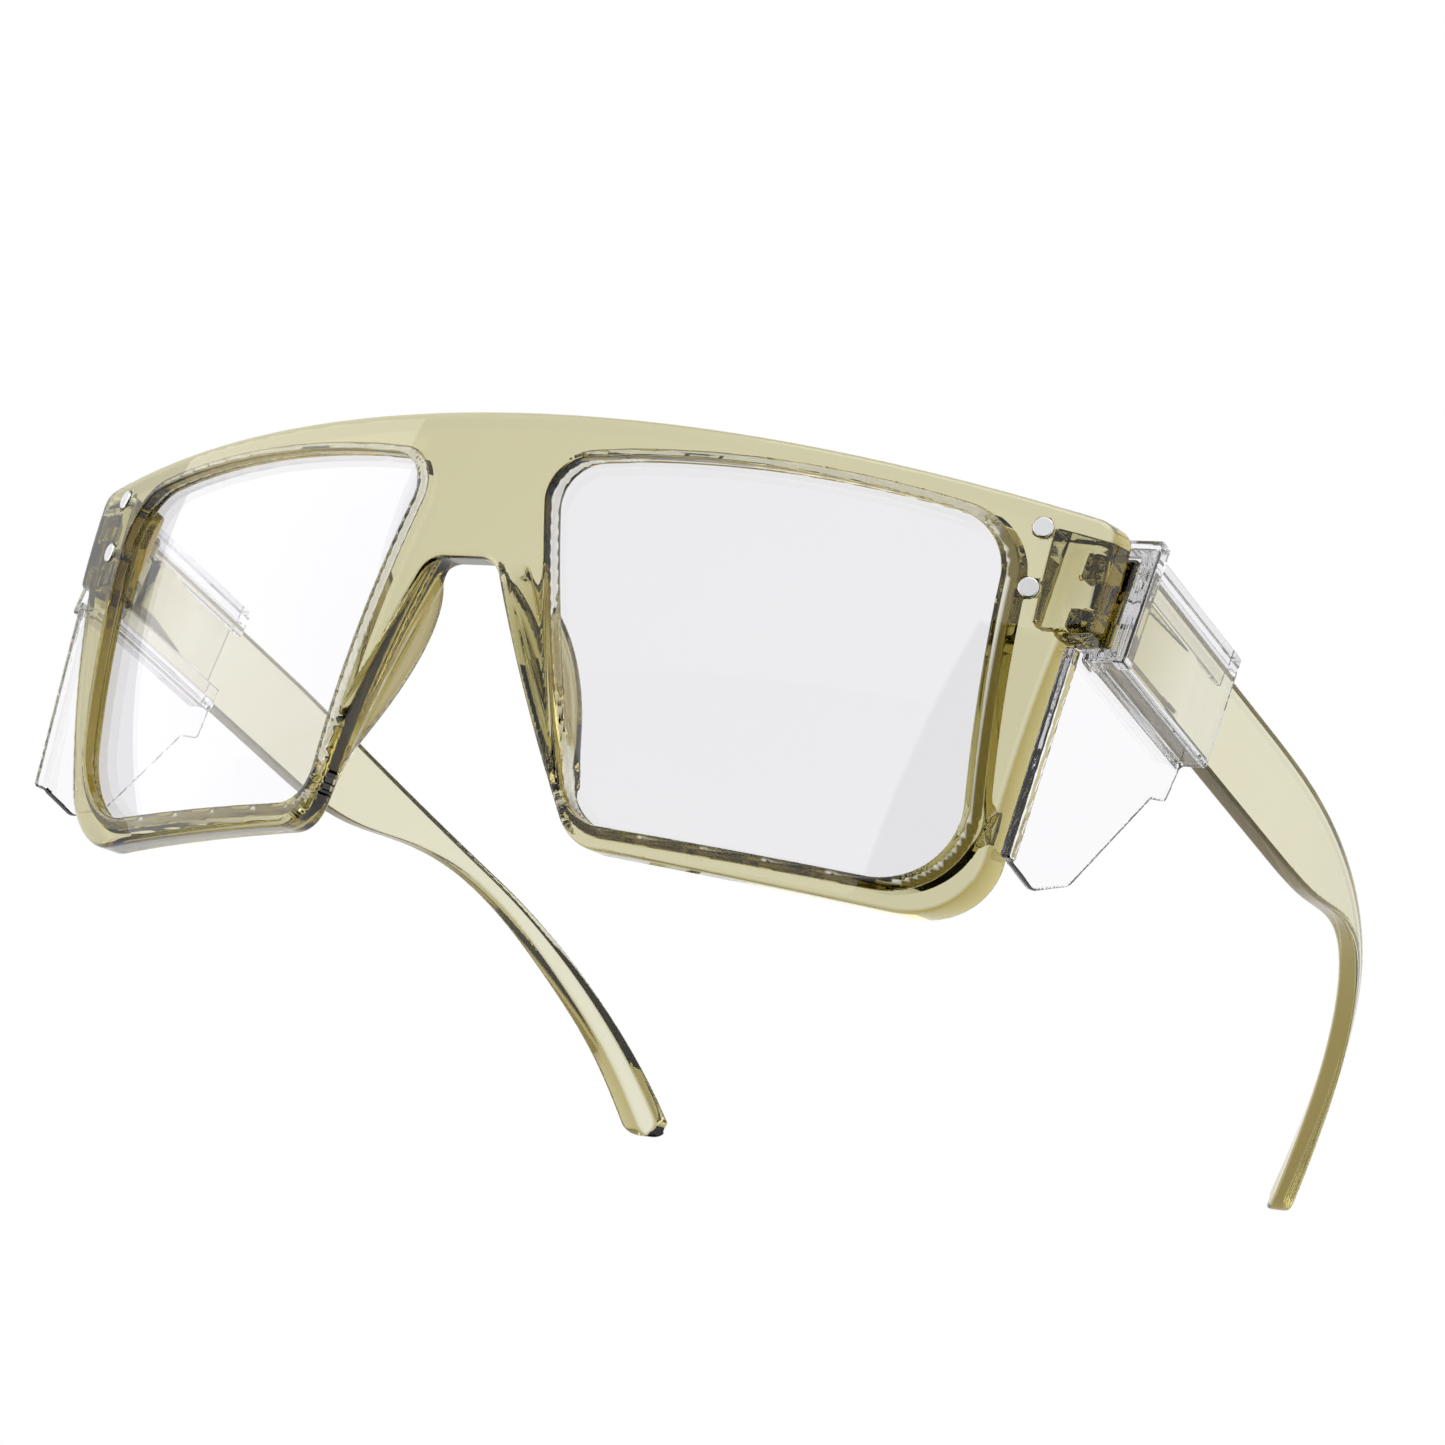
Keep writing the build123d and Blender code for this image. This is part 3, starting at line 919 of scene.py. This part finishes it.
@dataclass
class Front:
    """Front frame with its lenses, rivets and hinge screws.

    Attributes:
        curve: Surface that the front follows.
        hinge: Hinge sizes.
        pad: Nose pad sizes.
        lug: Lowest and highest corner of the end piece's block.
        thick: Thickness of the frame.
        groove: Depths of the groove's two walls.
        overlap: How far the lens runs into the groove.
        gap: Clearance round the lens.
        rivets: X of the rivets and their two heights.
        rivet_head: Radius of a rivet head.
        rivet_shank: Radius and length of a rivet's shank.
        edge: Rounding of the outer edge and of the opening edge.
        groove_shade_below: Height on the drawing plane where the painted shade in the groove starts, and
            over what length it grows.
        groove_shade_beyond: The same going outwards.
        groove_shade_least: How much painted shade the rest of the groove gets.
    """

    curve: FrontCurve = field(default_factory=FrontCurve)
    hinge: HingeSizes = field(default_factory=HingeSizes)
    pad: PadSizes = field(default_factory=PadSizes)
    lug: Box3 = ((66.2, 4.0, 4.3), (73.9, 19.6, 15.4))
    thick: float = 4.4
    groove: Point2 = (1.7, 3.7)
    overlap: float = 1.1
    gap: float = 0.05
    rivets: Point3 = (67.3, 13.5, 6.4)
    rivet_head: float = 1.2
    rivet_shank: Point2 = (0.75, 3.4)
    edge: Point2 = (0.8, 0.35)
    # Where the painted shade in the lens groove is placed.
    groove_shade_below: Point2 = (-24.0, 4.0)
    groove_shade_beyond: Point2 = (59.0, 3.5)
    groove_shade_least: float = 0.12

    def __post_init__(self) -> None:
        """Draws the outline, the opening and the pad lobe."""
        half = [(74.2, 11.6, 2.4), (74.2, -1.2, 1.0), (71.3, -2.0, 1.2), (65.6, -35.3, 9.0),
                (19.6, -32.0, 5.5), (*self.pad.foot, 3.4)]
        other = [(-x, y, r) for x, y, r in reversed(half)]
        top = [(x, y, 0.0) for x, y in arc_points((-74.2, 11.6), (0.0, 18.3), (74.2, 11.6), 4.0)]
        self.outline = Outline(rounded_loop(half + other + top))
        brow = [(x, y, 0.0) for x, y in arc_points((64.0, 9.6), (36.0, 13.3), (8.4, 12.3), 5.0)[1:-1]]
        sides = [(19.0, -29.3, 6.0), (64.3, -31.9, 9.5), (64.0, 9.6, 7.5)]
        self.opening = Outline(rounded_loop(sides + brow + [(8.4, 12.3, 4.6)]))
        lobe = [(1.0, 3.0), (4.0, 6.2), (9.0, 8.5), (14.0, 8.8), (19.5, 7.9), (25.0, 6.3), (29.0, 5.4)]
        self.lobe = Outline(smooth_through(lobe, 0.3))

    def pads(self, p: np.ndarray) -> np.ndarray:
        """Signed distance to the left nose pad, a lobed wall that splays outwards as it runs back."""
        turn, splay = math.radians(self.curve.tilt), math.radians(self.pad.splay)
        down = np.array(self.pad.way) / math.hypot(*self.pad.way)
        u, v = self.curve.plan(p)
        u = u - self.pad.foot[0]
        back = p[:, 1] * math.cos(turn) + p[:, 2] * math.sin(turn)
        along = u * down[0] + v * down[1]
        across = -u * down[1] + v * down[0] + self.pad.root * math.tan(splay)
        reach = back / math.cos(splay)
        flat = self.lobe.at(along, reach)
        return cut_round(flat, slab(across - reach * math.sin(splay), 0.0, self.pad.thick), self.pad.edge)

    def frame(self, p: np.ndarray) -> np.ndarray:
        """Signed distance to the front frame's left half.

        Args:
            p: Points, one per row.

        Returns:
            Signed distances.
        """
        u, v = self.curve.plan(p)
        depth = self.curve.depth(p)
        opening = self.opening.at(u, v)
        shell = cut_round(self.outline.at(u, v), slab(depth, 0, self.thick), self.edge[0])
        shell = cut_round(shell, -opening, self.edge[1])
        x, y, z = p.T
        behind = np.minimum(np.minimum(y - self.lug[1][1], x - self.lug[0][0]), z - 1.3)
        shell = np.maximum(shell, behind)
        made = join_round(shell, self.pads(p), 0.9)
        lug = cut_round(block(p, *self.lug, 0.4), 0.6 - depth, 0.3)
        made = join_round(made, lug, 0.3)
        for low, high in (self.hinge.low, self.hinge.top):
            knuckle = barrel(p, self.hinge.axis, self.hinge.barrel, (low, high), 0.2)
            inner, outer = self.hinge.arm
            arm = block(p, (*inner, low), (*outer, high), 0.1)
            made = join_round(made, np.minimum(knuckle, arm), 0.2)
        pocket = np.maximum(opening - self.overlap - self.gap,
                            slab(depth, self.groove[0] - self.gap, self.groove[1] + self.gap))
        made = cut_round(made, -pocket, 0.12)
        for height in self.rivets[1:]:
            made = np.maximum(made, -self.rivet_hole(p, height))
        screw = barrel(p, self.hinge.axis, self.hinge.screw + 0.02, (4.9, 16.0), 0.05)
        return np.maximum(made, -screw)

    def rivet_hole(self, p: np.ndarray, height: float) -> np.ndarray:
        """Signed distance to the stepped hole for one rivet."""
        seat, normal = self.curve.facing(self.rivets[0], height)
        arm = p - np.array(seat)
        deep = -(arm @ np.array(normal))
        around = np.sqrt(np.maximum((arm**2).sum(axis=1) - deep**2, 0))
        shank = np.maximum(around - self.rivet_shank[0] - self.gap, deep - self.rivet_shank[1] - self.gap)
        return np.minimum(shank, np.maximum(around - self.rivet_head - self.gap, deep - 0.55))

    def lens(self, p: np.ndarray) -> np.ndarray:
        """Signed distance to the left lens."""
        u, v = self.curve.plan(p)
        return cut_round(self.opening.at(u, v) - self.overlap, slab(self.curve.depth(p), *self.groove), 0.25)

    def painted_groove_shade(self, p: np.ndarray) -> np.ndarray:
        """Painted shade in the lens groove at each point, most at its lower and outer sides.

        Args:
            p: Points, one per row.

        Returns:
            Values from 0 to 1.
        """
        p = left_half(p)
        u, v = self.curve.plan(p)
        depth, out = self.curve.depth(p), self.opening.at(u, v)
        inside = (out > 0.12) & (out < self.overlap + 0.5)
        inside &= (depth > self.groove[0] - 0.4) & (depth < self.groove[1] + 0.4)
        lower = np.clip((self.groove_shade_below[0] - v) / self.groove_shade_below[1], 0, 1)
        outer = np.clip((u - self.groove_shade_beyond[0]) / self.groove_shade_beyond[1], 0, 1)
        return inside * (self.groove_shade_least + (1 - self.groove_shade_least) * np.maximum(lower, outer))

    def build(
        self, plastic: bpy.types.Material, clear: bpy.types.Material, steel: bpy.types.Material
    ) -> None:
        """Makes the frame, both lenses, the rivets and the hinge screws.

        Args:
            plastic: Frame material.
            clear: Lens material.
            steel: Material of the rivets and screws.
        """
        nodes = self.curve.lattice(ladder((0, 66, 0.42), (66, 75.2, 0.36)), ladder((-37.2, 19.8, 0.42)),
                                   ladder((-0.5, 4.7, 0.32), (4.7, 15.2, 0.45)))
        frame_skin = skin_over(self.frame, nodes, both_halves=True)
        frame = frame_skin.to_object("front_moulding", plastic)
        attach(frame, "front")
        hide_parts("front_frame")
        # Painted shade for the lens grooves, stored on the frame's points.
        shade = frame.data.attributes.new(GROOVE_SHADE, "FLOAT", "POINT")
        shade.data.foreach_set("value", self.painted_groove_shade(frame_skin.points))
        report(frame)
        nodes = self.curve.lattice(ladder((5, 68, 0.5)), ladder((-35, 16, 0.5)), ladder((1.4, 4.0, 0.26)))
        skin = skin_over(self.lens, nodes)
        for side in Side:
            made = skin.on(side).to_object(f"{side.value}_clear_lens", clear)
            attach(made, "front")
            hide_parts(f"lens_{side.value}")
            report(made)
        self.build_rivets(steel)
        self.build_screws(steel)

    def build_rivets(self, steel: bpy.types.Material) -> None:
        """Makes the four rivets."""
        for place, height in zip(("upper", "lower"), self.rivets[1:]):
            seat, normal = self.curve.facing(self.rivets[0], height)
            across = normal.cross(Vector((0, 0, 1))).normalized()
            turn = np.array([across, normal.cross(across), normal])

            def solid(p: np.ndarray) -> np.ndarray:
                """The rivet's head and shank."""
                x, y, out = ((p - np.array(seat)) @ turn.T).T
                around = np.hypot(x, y)
                head = cut_round(around - self.rivet_head, slab(out, -0.5, 0.3), 0.14)
                radius, length = self.rivet_shank
                return join_round(head, cut_round(around - radius, slab(out, -length, 0.0), 0.1), 0.08)

            axes = ladder((-1.6, 1.6, 0.1)), ladder((-1.6, 1.6, 0.1)), ladder((-3.6, 0.5, 0.1))
            skin = skin_over(solid, grid(*axes) @ turn + np.array(seat))
            for side in Side:
                made = skin.on(side).to_object(f"{side.value}_{place}_rivet", steel)
                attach(made, "front")
                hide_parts(f"rivet_{place}_{side.value}")
                report(made)

    def build_screws(self, steel: bpy.types.Material) -> None:
        """Makes the two slotted hinge screws."""
        x, y = self.hinge.axis
        top = self.hinge.top[1]

        def solid(p: np.ndarray) -> np.ndarray:
            """The screw's shank and slotted head."""
            shank = barrel(p, (x, y), self.hinge.screw, (5.0, top + 0.1), 0.08)
            head = barrel(p, (x, y), self.hinge.head, (top, top + self.hinge.head_height), 0.16)
            slot = np.maximum(np.abs(p[:, 1] - y) - 0.18, top + 0.35 - p[:, 2])
            return cut_round(join_round(shank, head, 0.05), -slot, 0.05)

        across, along = ladder((x - 1.4, x + 1.4, 0.1)), ladder((y - 1.4, y + 1.4, 0.1))
        skin = skin_over(solid, grid(across, along, ladder((4.8, 13.8, 0.3), (13.8, 15.1, 0.1))))
        for side in Side:
            made = skin.on(side).to_object(f"{side.value}_hinge_screw", steel)
            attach(made, "front")
            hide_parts(f"hinge_screw_{side.value}")
            report(made)


# --------------------------------------------------------------------------------------------
# Temples and side shields
# --------------------------------------------------------------------------------------------


@dataclass
class Temple:
    """One temple, drawn on the wearer's left.

    Attributes:
        hinge: Hinge sizes.
        outside: X of the straight part's outer face.
        thick: Thickness.
        straight: Y where it starts to bend inwards.
        bend: Radius of that bend.
        edge: Rounding of the long edges.
        clearance: Gap between the blade and the front's barrels.
        block_size: Inner X, front Y, middle Y and rear Y of the hinge block, and its Z span.
    """

    hinge: HingeSizes = field(default_factory=HingeSizes)
    outside: float = 75.0
    thick: float = 2.6
    straight: float = 66.0
    bend: float = 112.0
    edge: float = 0.5
    clearance: float = 0.25
    block_size: tuple[float, float, float, float, float, float] = (69.5, 24.8, 27.8, 39.0, 5.5, 12.6)

    def __post_init__(self) -> None:
        """Draws the side view and the hinge block's plan."""
        slope_arc, slope_end = tangent_arc((58.0, 14.9), (1.0, 0.0), (104.0, 10.0), 1.0)
        hook_arc, hook_end = tangent_arc((104.0, 10.0), slope_end, (135.5, -10.0), 0.8)
        tip = arc_points((135.5, -10.0), (135.1, -12.7), (132.3, -12.3), 0.2)
        low = [(66.0, 3.5), (80.0, 4.7), (90.0, 7.3), (98.0, 8.1), (107.0, 6.4), (117.0, 1.6), (126.0, -5.0),
               (132.3, -12.3)]
        under = smooth_through(low, 0.6, ((1.0, 0.0), hook_end))[::-1]
        top = [(20.0, 14.9), (58.0, 14.9)] + slope_arc + [(104.0, 10.0)] + hook_arc + [(135.5, -10.0)] + tip
        self.side_view = Outline(np.array(top + [tuple(q) for q in under] + [(20.0, 3.5)]))
        x, front, middle, rear = self.block_size[:4]
        inner = self.outside - self.thick + 0.3
        self.block_plan = Outline(rounded_loop([(inner, front, 0.1), (x, front, 0.4), (x, middle, 1.5),
                                                (inner, rear, 0.1)]))

    def solid(self, p: np.ndarray) -> np.ndarray:
        """Signed distance to the left temple.

        Args:
            p: Points, one per row.

        Returns:
            Signed distances.
        """
        x, y, z = p.T
        centre = self.outside - self.bend
        bent = np.hypot(x - centre, np.maximum(y - self.straight, 0)) - self.bend
        outwards = np.where(y > self.straight, bent, x - self.outside)
        blade = cut_round(self.side_view.at(y, z), slab(outwards, -self.thick, 0), self.edge)
        hinge_x, hinge_y = self.hinge.axis
        reach = self.hinge.barrel + self.clearance
        room = np.minimum(np.hypot(x - hinge_x, y - hinge_y) - reach,
                          np.maximum(x - hinge_x - reach, y - hinge_y))
        blade = cut_round(blade, -room, 0.15)
        base = cut_round(self.block_plan.at(x, y), slab(z, *self.block_size[4:]), 0.35)
        made = join_round(blade, base, 0.4)
        knuckle = barrel(p, self.hinge.axis, self.hinge.barrel, self.hinge.middle, 0.2)
        low, high = self.hinge.middle
        corner = (self.outside - 0.8, self.block_size[1] + 0.5, high)
        web = block(p, (hinge_x, hinge_y - 1.6, low), corner, 0.15)
        made = join_round(made, np.minimum(knuckle, web), 0.2)
        return np.maximum(made, -barrel(p, self.hinge.axis, self.hinge.screw + 0.05, (0.0, 20.0), 0.05))

    def lattice(self) -> np.ndarray:
        """Points that run along the temple, through its thickness and up its height."""
        runs, rises = ladder((18.9, 40, 0.36), (40, 143, 0.5)), ladder((-14.6, 15.8, 0.4))
        run, out, up = np.moveaxis(grid(runs, ladder((-6.8, -3.2, 0.36), (-3.2, 0.5, 0.3)), rises), -1, 0)
        turn = np.maximum(run - self.straight, 0) / self.bend
        centre = self.outside - self.bend
        reach = self.bend + out
        along = np.minimum(run, self.straight) + reach * np.sin(turn)
        return np.stack([centre + reach * np.cos(turn), along, up], axis=-1)

    def build(self, plastic: bpy.types.Material) -> None:
        """Makes both temples."""
        skin = skin_over(self.solid, self.lattice())
        for side in Side:
            made = skin.on(side).to_object(f"{side.value}_temple_blade", plastic)
            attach(made, f"{side.value}_temple")
            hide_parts(f"temple_{side.value}")
            report(made)


@dataclass
class SideShield:
    """One clear shield, drawn on the wearer's left: sleeve, collar, wing and the wing's front rib.

    Attributes:
        sleeve: Lowest and highest corner of the sleeve.
        collar: Lowest and highest corner of the collar.
        room: Lowest and highest corner of the space for the temple.
        lips: Z span of the slot between the sleeve's inner lips.
        lip_start: Y where the lips start.
        wing: X and Z of the wing's middle plane where it meets the sleeve, and its thickness.
        lean: Degrees the wing leans in towards its lower edge.
        rib: Thickness and width of the rib along the wing's front edge.
    """

    sleeve: Box3 = ((71.45, 20.1, 2.45), (76.05, 45.0, 16.95))
    collar: Box3 = ((71.45, 20.1, 1.85), (77.25, 22.2, 17.55))
    room: Box3 = ((72.25, 0.0, 3.35), (75.15, 60.0, 15.05))
    lips: Point2 = (5.25, 13.15)
    lip_start: float = 24.6
    wing: Point3 = (72.2, 2.5, 1.0)
    lean: float = 4.0
    rib: Point2 = (1.4, 1.5)

    def __post_init__(self) -> None:
        """Draws the wing and its rib from the side."""
        corners = [(17.3, -0.9, 0.5), (20.9, -25.5, 1.6), (27.5, -25.9, 2.2), (33.5, -22.0, 2.0),
                   (41.9, -6.0, 1.2), (44.8, -4.7, 0.8), (45.0, 0.4, 0.3), (20.6, 0.4, 0.3)]
        self.wing_view = Outline(rounded_loop(corners, 0.15))
        self.rib_line = corners[0][:2], corners[1][:2]

    def solid(self, p: np.ndarray) -> np.ndarray:
        """Signed distance to the left shield.

        Args:
            p: Points, one per row.

        Returns:
            Signed distances.
        """
        x, y, z = p.T
        made = join_round(block(p, *self.sleeve, 0.3), block(p, *self.collar, 0.3), 0.3)
        turn = math.radians(self.lean)
        out = (x - self.wing[0]) * math.cos(turn) - (z - self.wing[1]) * math.sin(turn)
        rise = (x - self.wing[0]) * math.sin(turn) + (z - self.wing[1]) * math.cos(turn)
        wing = cut_round(self.wing_view.at(y, rise), np.abs(out) - self.wing[2] / 2, 0.25)
        made = join_round(made, wing, 0.5)
        start, end = (np.array(place) for place in self.rib_line)
        span = np.linalg.norm(end - start)
        along = (end - start) / span
        run = (y - start[0]) * along[0] + (rise - start[1]) * along[1]
        across = (y - start[0]) * along[1] - (rise - start[1]) * along[0]
        bar = cut_round(np.maximum(-run, run - span), np.abs(across) - self.rib[1] / 2, 0.3)
        bar = cut_round(bar, slab(out, -self.wing[2] / 2, self.rib[0] - self.wing[2] / 2), 0.3)
        made = join_round(made, bar, 0.3)
        made = cut_round(made, -block(p, *self.room, 0.1), 0.12)
        slot = block(p, (68.0, -5.0, self.lips[0]), (72.5, 60.0, self.lips[1]), 0.05)
        hinge_room = block(p, (68.0, -5.0, self.room[0][2]), (72.35, self.lip_start, self.room[1][2]), 0.05)
        return cut_round(made, -np.minimum(slot, hinge_room), 0.15)

    def build(self, plastic: bpy.types.Material) -> None:
        """Makes both shields."""
        across, along = ladder((67.6, 70.8, 0.3), (70.8, 77.8, 0.24)), ladder((15.8, 45.6, 0.36))
        skin = skin_over(self.solid, grid(across, along, ladder((-25.4, 1.0, 0.4), (1.0, 18.2, 0.3))))
        for side in Side:
            made = skin.on(side).to_object(f"{side.value}_clear_shield", plastic)
            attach(made, f"{side.value}_shield")
            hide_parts(f"side_shield_{side.value}")
            report(made)


# --------------------------------------------------------------------------------------------
# Room, light and camera
# --------------------------------------------------------------------------------------------


def hang(made: bpy.types.Object, aim: Vector, toward: Point3, distance: float) -> None:
    """Puts a light or a card at a distance from the aim point and turns it to face that point.

    Args:
        made: The light or the card.
        aim: Middle of the glasses.
        toward: Direction from the aim point.
        distance: Distance in metres.
    """
    way = Vector(toward).normalized()
    made.location = aim + way * distance
    made.rotation_euler = way.to_track_quat("Z", "Y").to_euler()
    bpy.context.scene.collection.objects.link(made)


@dataclass(frozen=True)
class Softbox:
    """Rectangular studio light that points at the glasses.

    Attributes:
        name: Light name.
        toward: Direction from the glasses to the light.
        distance: Distance in metres.
        size: Width and height in metres.
        power: Power in watts.
    """

    name: str
    toward: Point3
    distance: float
    size: Point2
    power: float

    def build(self, aim: Vector) -> None:
        """Makes the light, facing the aim point."""
        data = bpy.data.lights.new(self.name, "AREA")
        data.shape = "RECTANGLE"
        data.size, data.size_y = self.size
        data.energy = self.power
        hang(bpy.data.objects.new(self.name, data), aim, self.toward, self.distance)


@dataclass(frozen=True)
class DarkCard:
    """Black card that darkens part of the surroundings but is not seen directly.

    Attributes:
        name: Card name.
        toward: Direction from the glasses to the card.
        distance: Distance in metres.
        size: Width and height in metres.
    """

    name: str
    toward: Point3
    distance: float
    size: Point2

    def build(self, aim: Vector) -> None:
        """Makes the card, facing the aim point."""
        wide, high = (s / 2 for s in self.size)
        mesh = bpy.data.meshes.new(self.name)
        corners = [(-wide, -high, 0), (wide, -high, 0), (wide, high, 0), (-wide, high, 0)]
        mesh.from_pydata(corners, [], [(0, 1, 2, 3)])
        mesh.materials.append(self.finish())
        made = bpy.data.objects.new(self.name, mesh)
        hang(made, aim, self.toward, self.distance)
        made.visible_camera = False
        made.visible_shadow = False
        made.visible_diffuse = False
        made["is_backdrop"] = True

    @staticmethod
    def finish() -> bpy.types.Material:
        """Makes a matt black that shows only in reflections and is clear to what looks straight through."""
        made = bpy.data.materials.get("black_card")
        if made is not None:
            return made
        made = bpy.data.materials.new("black_card")
        made.use_nodes = True
        tree = made.node_tree
        shader = tree.nodes["Principled BSDF"]
        shader.inputs["Base Color"].default_value = (0.01, 0.01, 0.01, 1.0)
        shader.inputs["Roughness"].default_value = 1.0
        shader.inputs["Specular IOR Level"].default_value = 0.0
        path = add_node(tree, "ShaderNodeLightPath")
        bounced = add_node(tree, "ShaderNodeMath")
        bounced.operation = "GREATER_THAN"
        bounced.inputs[1].default_value = 0.5
        clear = add_node(tree, "ShaderNodeBsdfTransparent")
        choice = add_node(tree, "ShaderNodeMixShader")
        wire(
            tree,
            (path, "Glossy Depth", bounced, 0),
            (bounced, "Value", choice, "Fac"),
            (clear, "BSDF", choice, 1),
            (shader, "BSDF", choice, 2),
            (choice, "Shader", tree.nodes["Material Output"], "Surface"),
        )
        return made


@dataclass
class Studio:
    """Pale floor, even surroundings, softboxes and the camera.

    Attributes:
        floor_drop: Depth of the floor below the glasses, in metres.
        floor_size: Width of the floor, in metres.
        surround: Brightness of the surroundings.
        camera_at: Camera position in metres.
        camera_turn: Camera rotation in degrees.
        lens_mm: Focal length on a 36 mm sensor.
        boxes: The lights.
        cards: The black cards.
    """

    floor_drop: float = 1.3
    floor_size: float = 16.0
    surround: float = 1.0
    camera_at: Point3 = (0.358466, -0.398786, -0.23417)
    camera_turn: Point3 = (114.27526, -18.743174, 30.047233)
    lens_mm: float = 126.1342
    boxes: tuple[Softbox, ...] = (
        Softbox("glare_box", (-0.89, -0.46, 0.0), 1.2, (0.7, 1.0), 3.0),
        Softbox("top_box", (0.1, -0.3, 1.0), 1.6, (1.6, 1.6), 12.0),
    )
    cards: tuple[DarkCard, ...] = (
        DarkCard("card_before", (0.57, -0.72, -0.39), 0.8, (0.75, 0.75)),
        DarkCard("card_below", (0.35, -0.1, -0.93), 0.8, (1.3, 1.0)),
        DarkCard("card_above", (-0.1, 0.1, 1.0), 0.9, (1.3, 0.5)),
    )

    def build(self, aim: Vector) -> None:
        """Makes everything round the glasses.

        Args:
            aim: Middle of the glasses.
        """
        self.build_floor()
        self.build_world()
        for item in self.boxes + self.cards:
            item.build(aim)
        data = bpy.data.cameras.new("studio_camera")
        data.lens = self.lens_mm
        data.sensor_width = 36.0
        data.clip_start = 0.01
        camera = bpy.data.objects.new("studio_camera", data)
        camera.location = self.camera_at
        camera.rotation_euler = Euler([math.radians(a) for a in self.camera_turn])
        bpy.context.scene.collection.objects.link(camera)
        bpy.context.scene.camera = camera
        bpy.context.scene.view_settings.view_transform = "Standard"
        cycles = bpy.context.scene.cycles
        cycles.max_bounces = 24
        cycles.transmission_bounces = 24
        cycles.glossy_bounces = 12
        cycles.caustics_refractive = True

    def build_floor(self) -> None:
        """Makes a round, slightly mottled pale floor."""
        ring = [(math.cos(t) * self.floor_size / 2, math.sin(t) * self.floor_size / 2, -self.floor_drop)
                for t in np.linspace(0, 2 * math.pi, 97)[:-1]]
        mesh = bpy.data.meshes.new("studio_floor")
        mesh.from_pydata(ring, [], [list(range(len(ring)))])
        mesh.materials.append(self.floor_finish())
        floor = bpy.data.objects.new("studio_floor", mesh)
        bpy.context.scene.collection.objects.link(floor)
        floor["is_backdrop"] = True

    @staticmethod
    def floor_finish() -> bpy.types.Material:
        """Makes the floor's pale matt finish."""
        made = bpy.data.materials.new("pale_floor")
        made.use_nodes = True
        tree = made.node_tree
        shader = tree.nodes["Principled BSDF"]
        shader.inputs["Roughness"].default_value = 0.9
        place = add_node(tree, "ShaderNodeTexCoord")
        noise = add_node(tree, "ShaderNodeTexNoise", {"Scale": 3.0})
        tone = add_blend(tree, ((0.84, 0.84, 0.84), (0.87, 0.87, 0.87)))
        wire(
            tree,
            (place, "Object", noise, "Vector"),
            (noise, "Fac", tone, "Factor"),
            (tone, "Result", shader, "Base Color"),
        )
        return made

    def build_world(self) -> None:
        """Makes the surroundings."""
        world = bpy.data.worlds.new("studio_surroundings")
        world.use_nodes = True
        sky = world.node_tree.nodes["Background"]
        sky.inputs["Color"].default_value = (1.0, 1.0, 1.0, 1.0)
        sky.inputs["Strength"].default_value = self.surround
        bpy.context.scene.world = world


def report(made: bpy.types.Object) -> None:
    """Logs one finished piece."""
    LOG.info("%s: %d points, %d faces", made.name, len(made.data.vertices), len(made.data.polygons))


def main() -> None:
    """Builds the glasses and the studio round them."""
    logging.basicConfig(level=logging.INFO, format="%(message)s")
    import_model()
    cad_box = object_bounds()
    steel = TurnedSteel().make()
    Front().build(OLIVE_FRONT.make(), LENS_PLASTIC.make(), steel)
    Temple().build(OLIVE_TEMPLE.make())
    SideShield().build(SHIELD_PLASTIC.make())
    low, high = cad_box
    Studio().build((Vector(low) + Vector(high)) / 2)


if __name__ == "__main__":
    main()
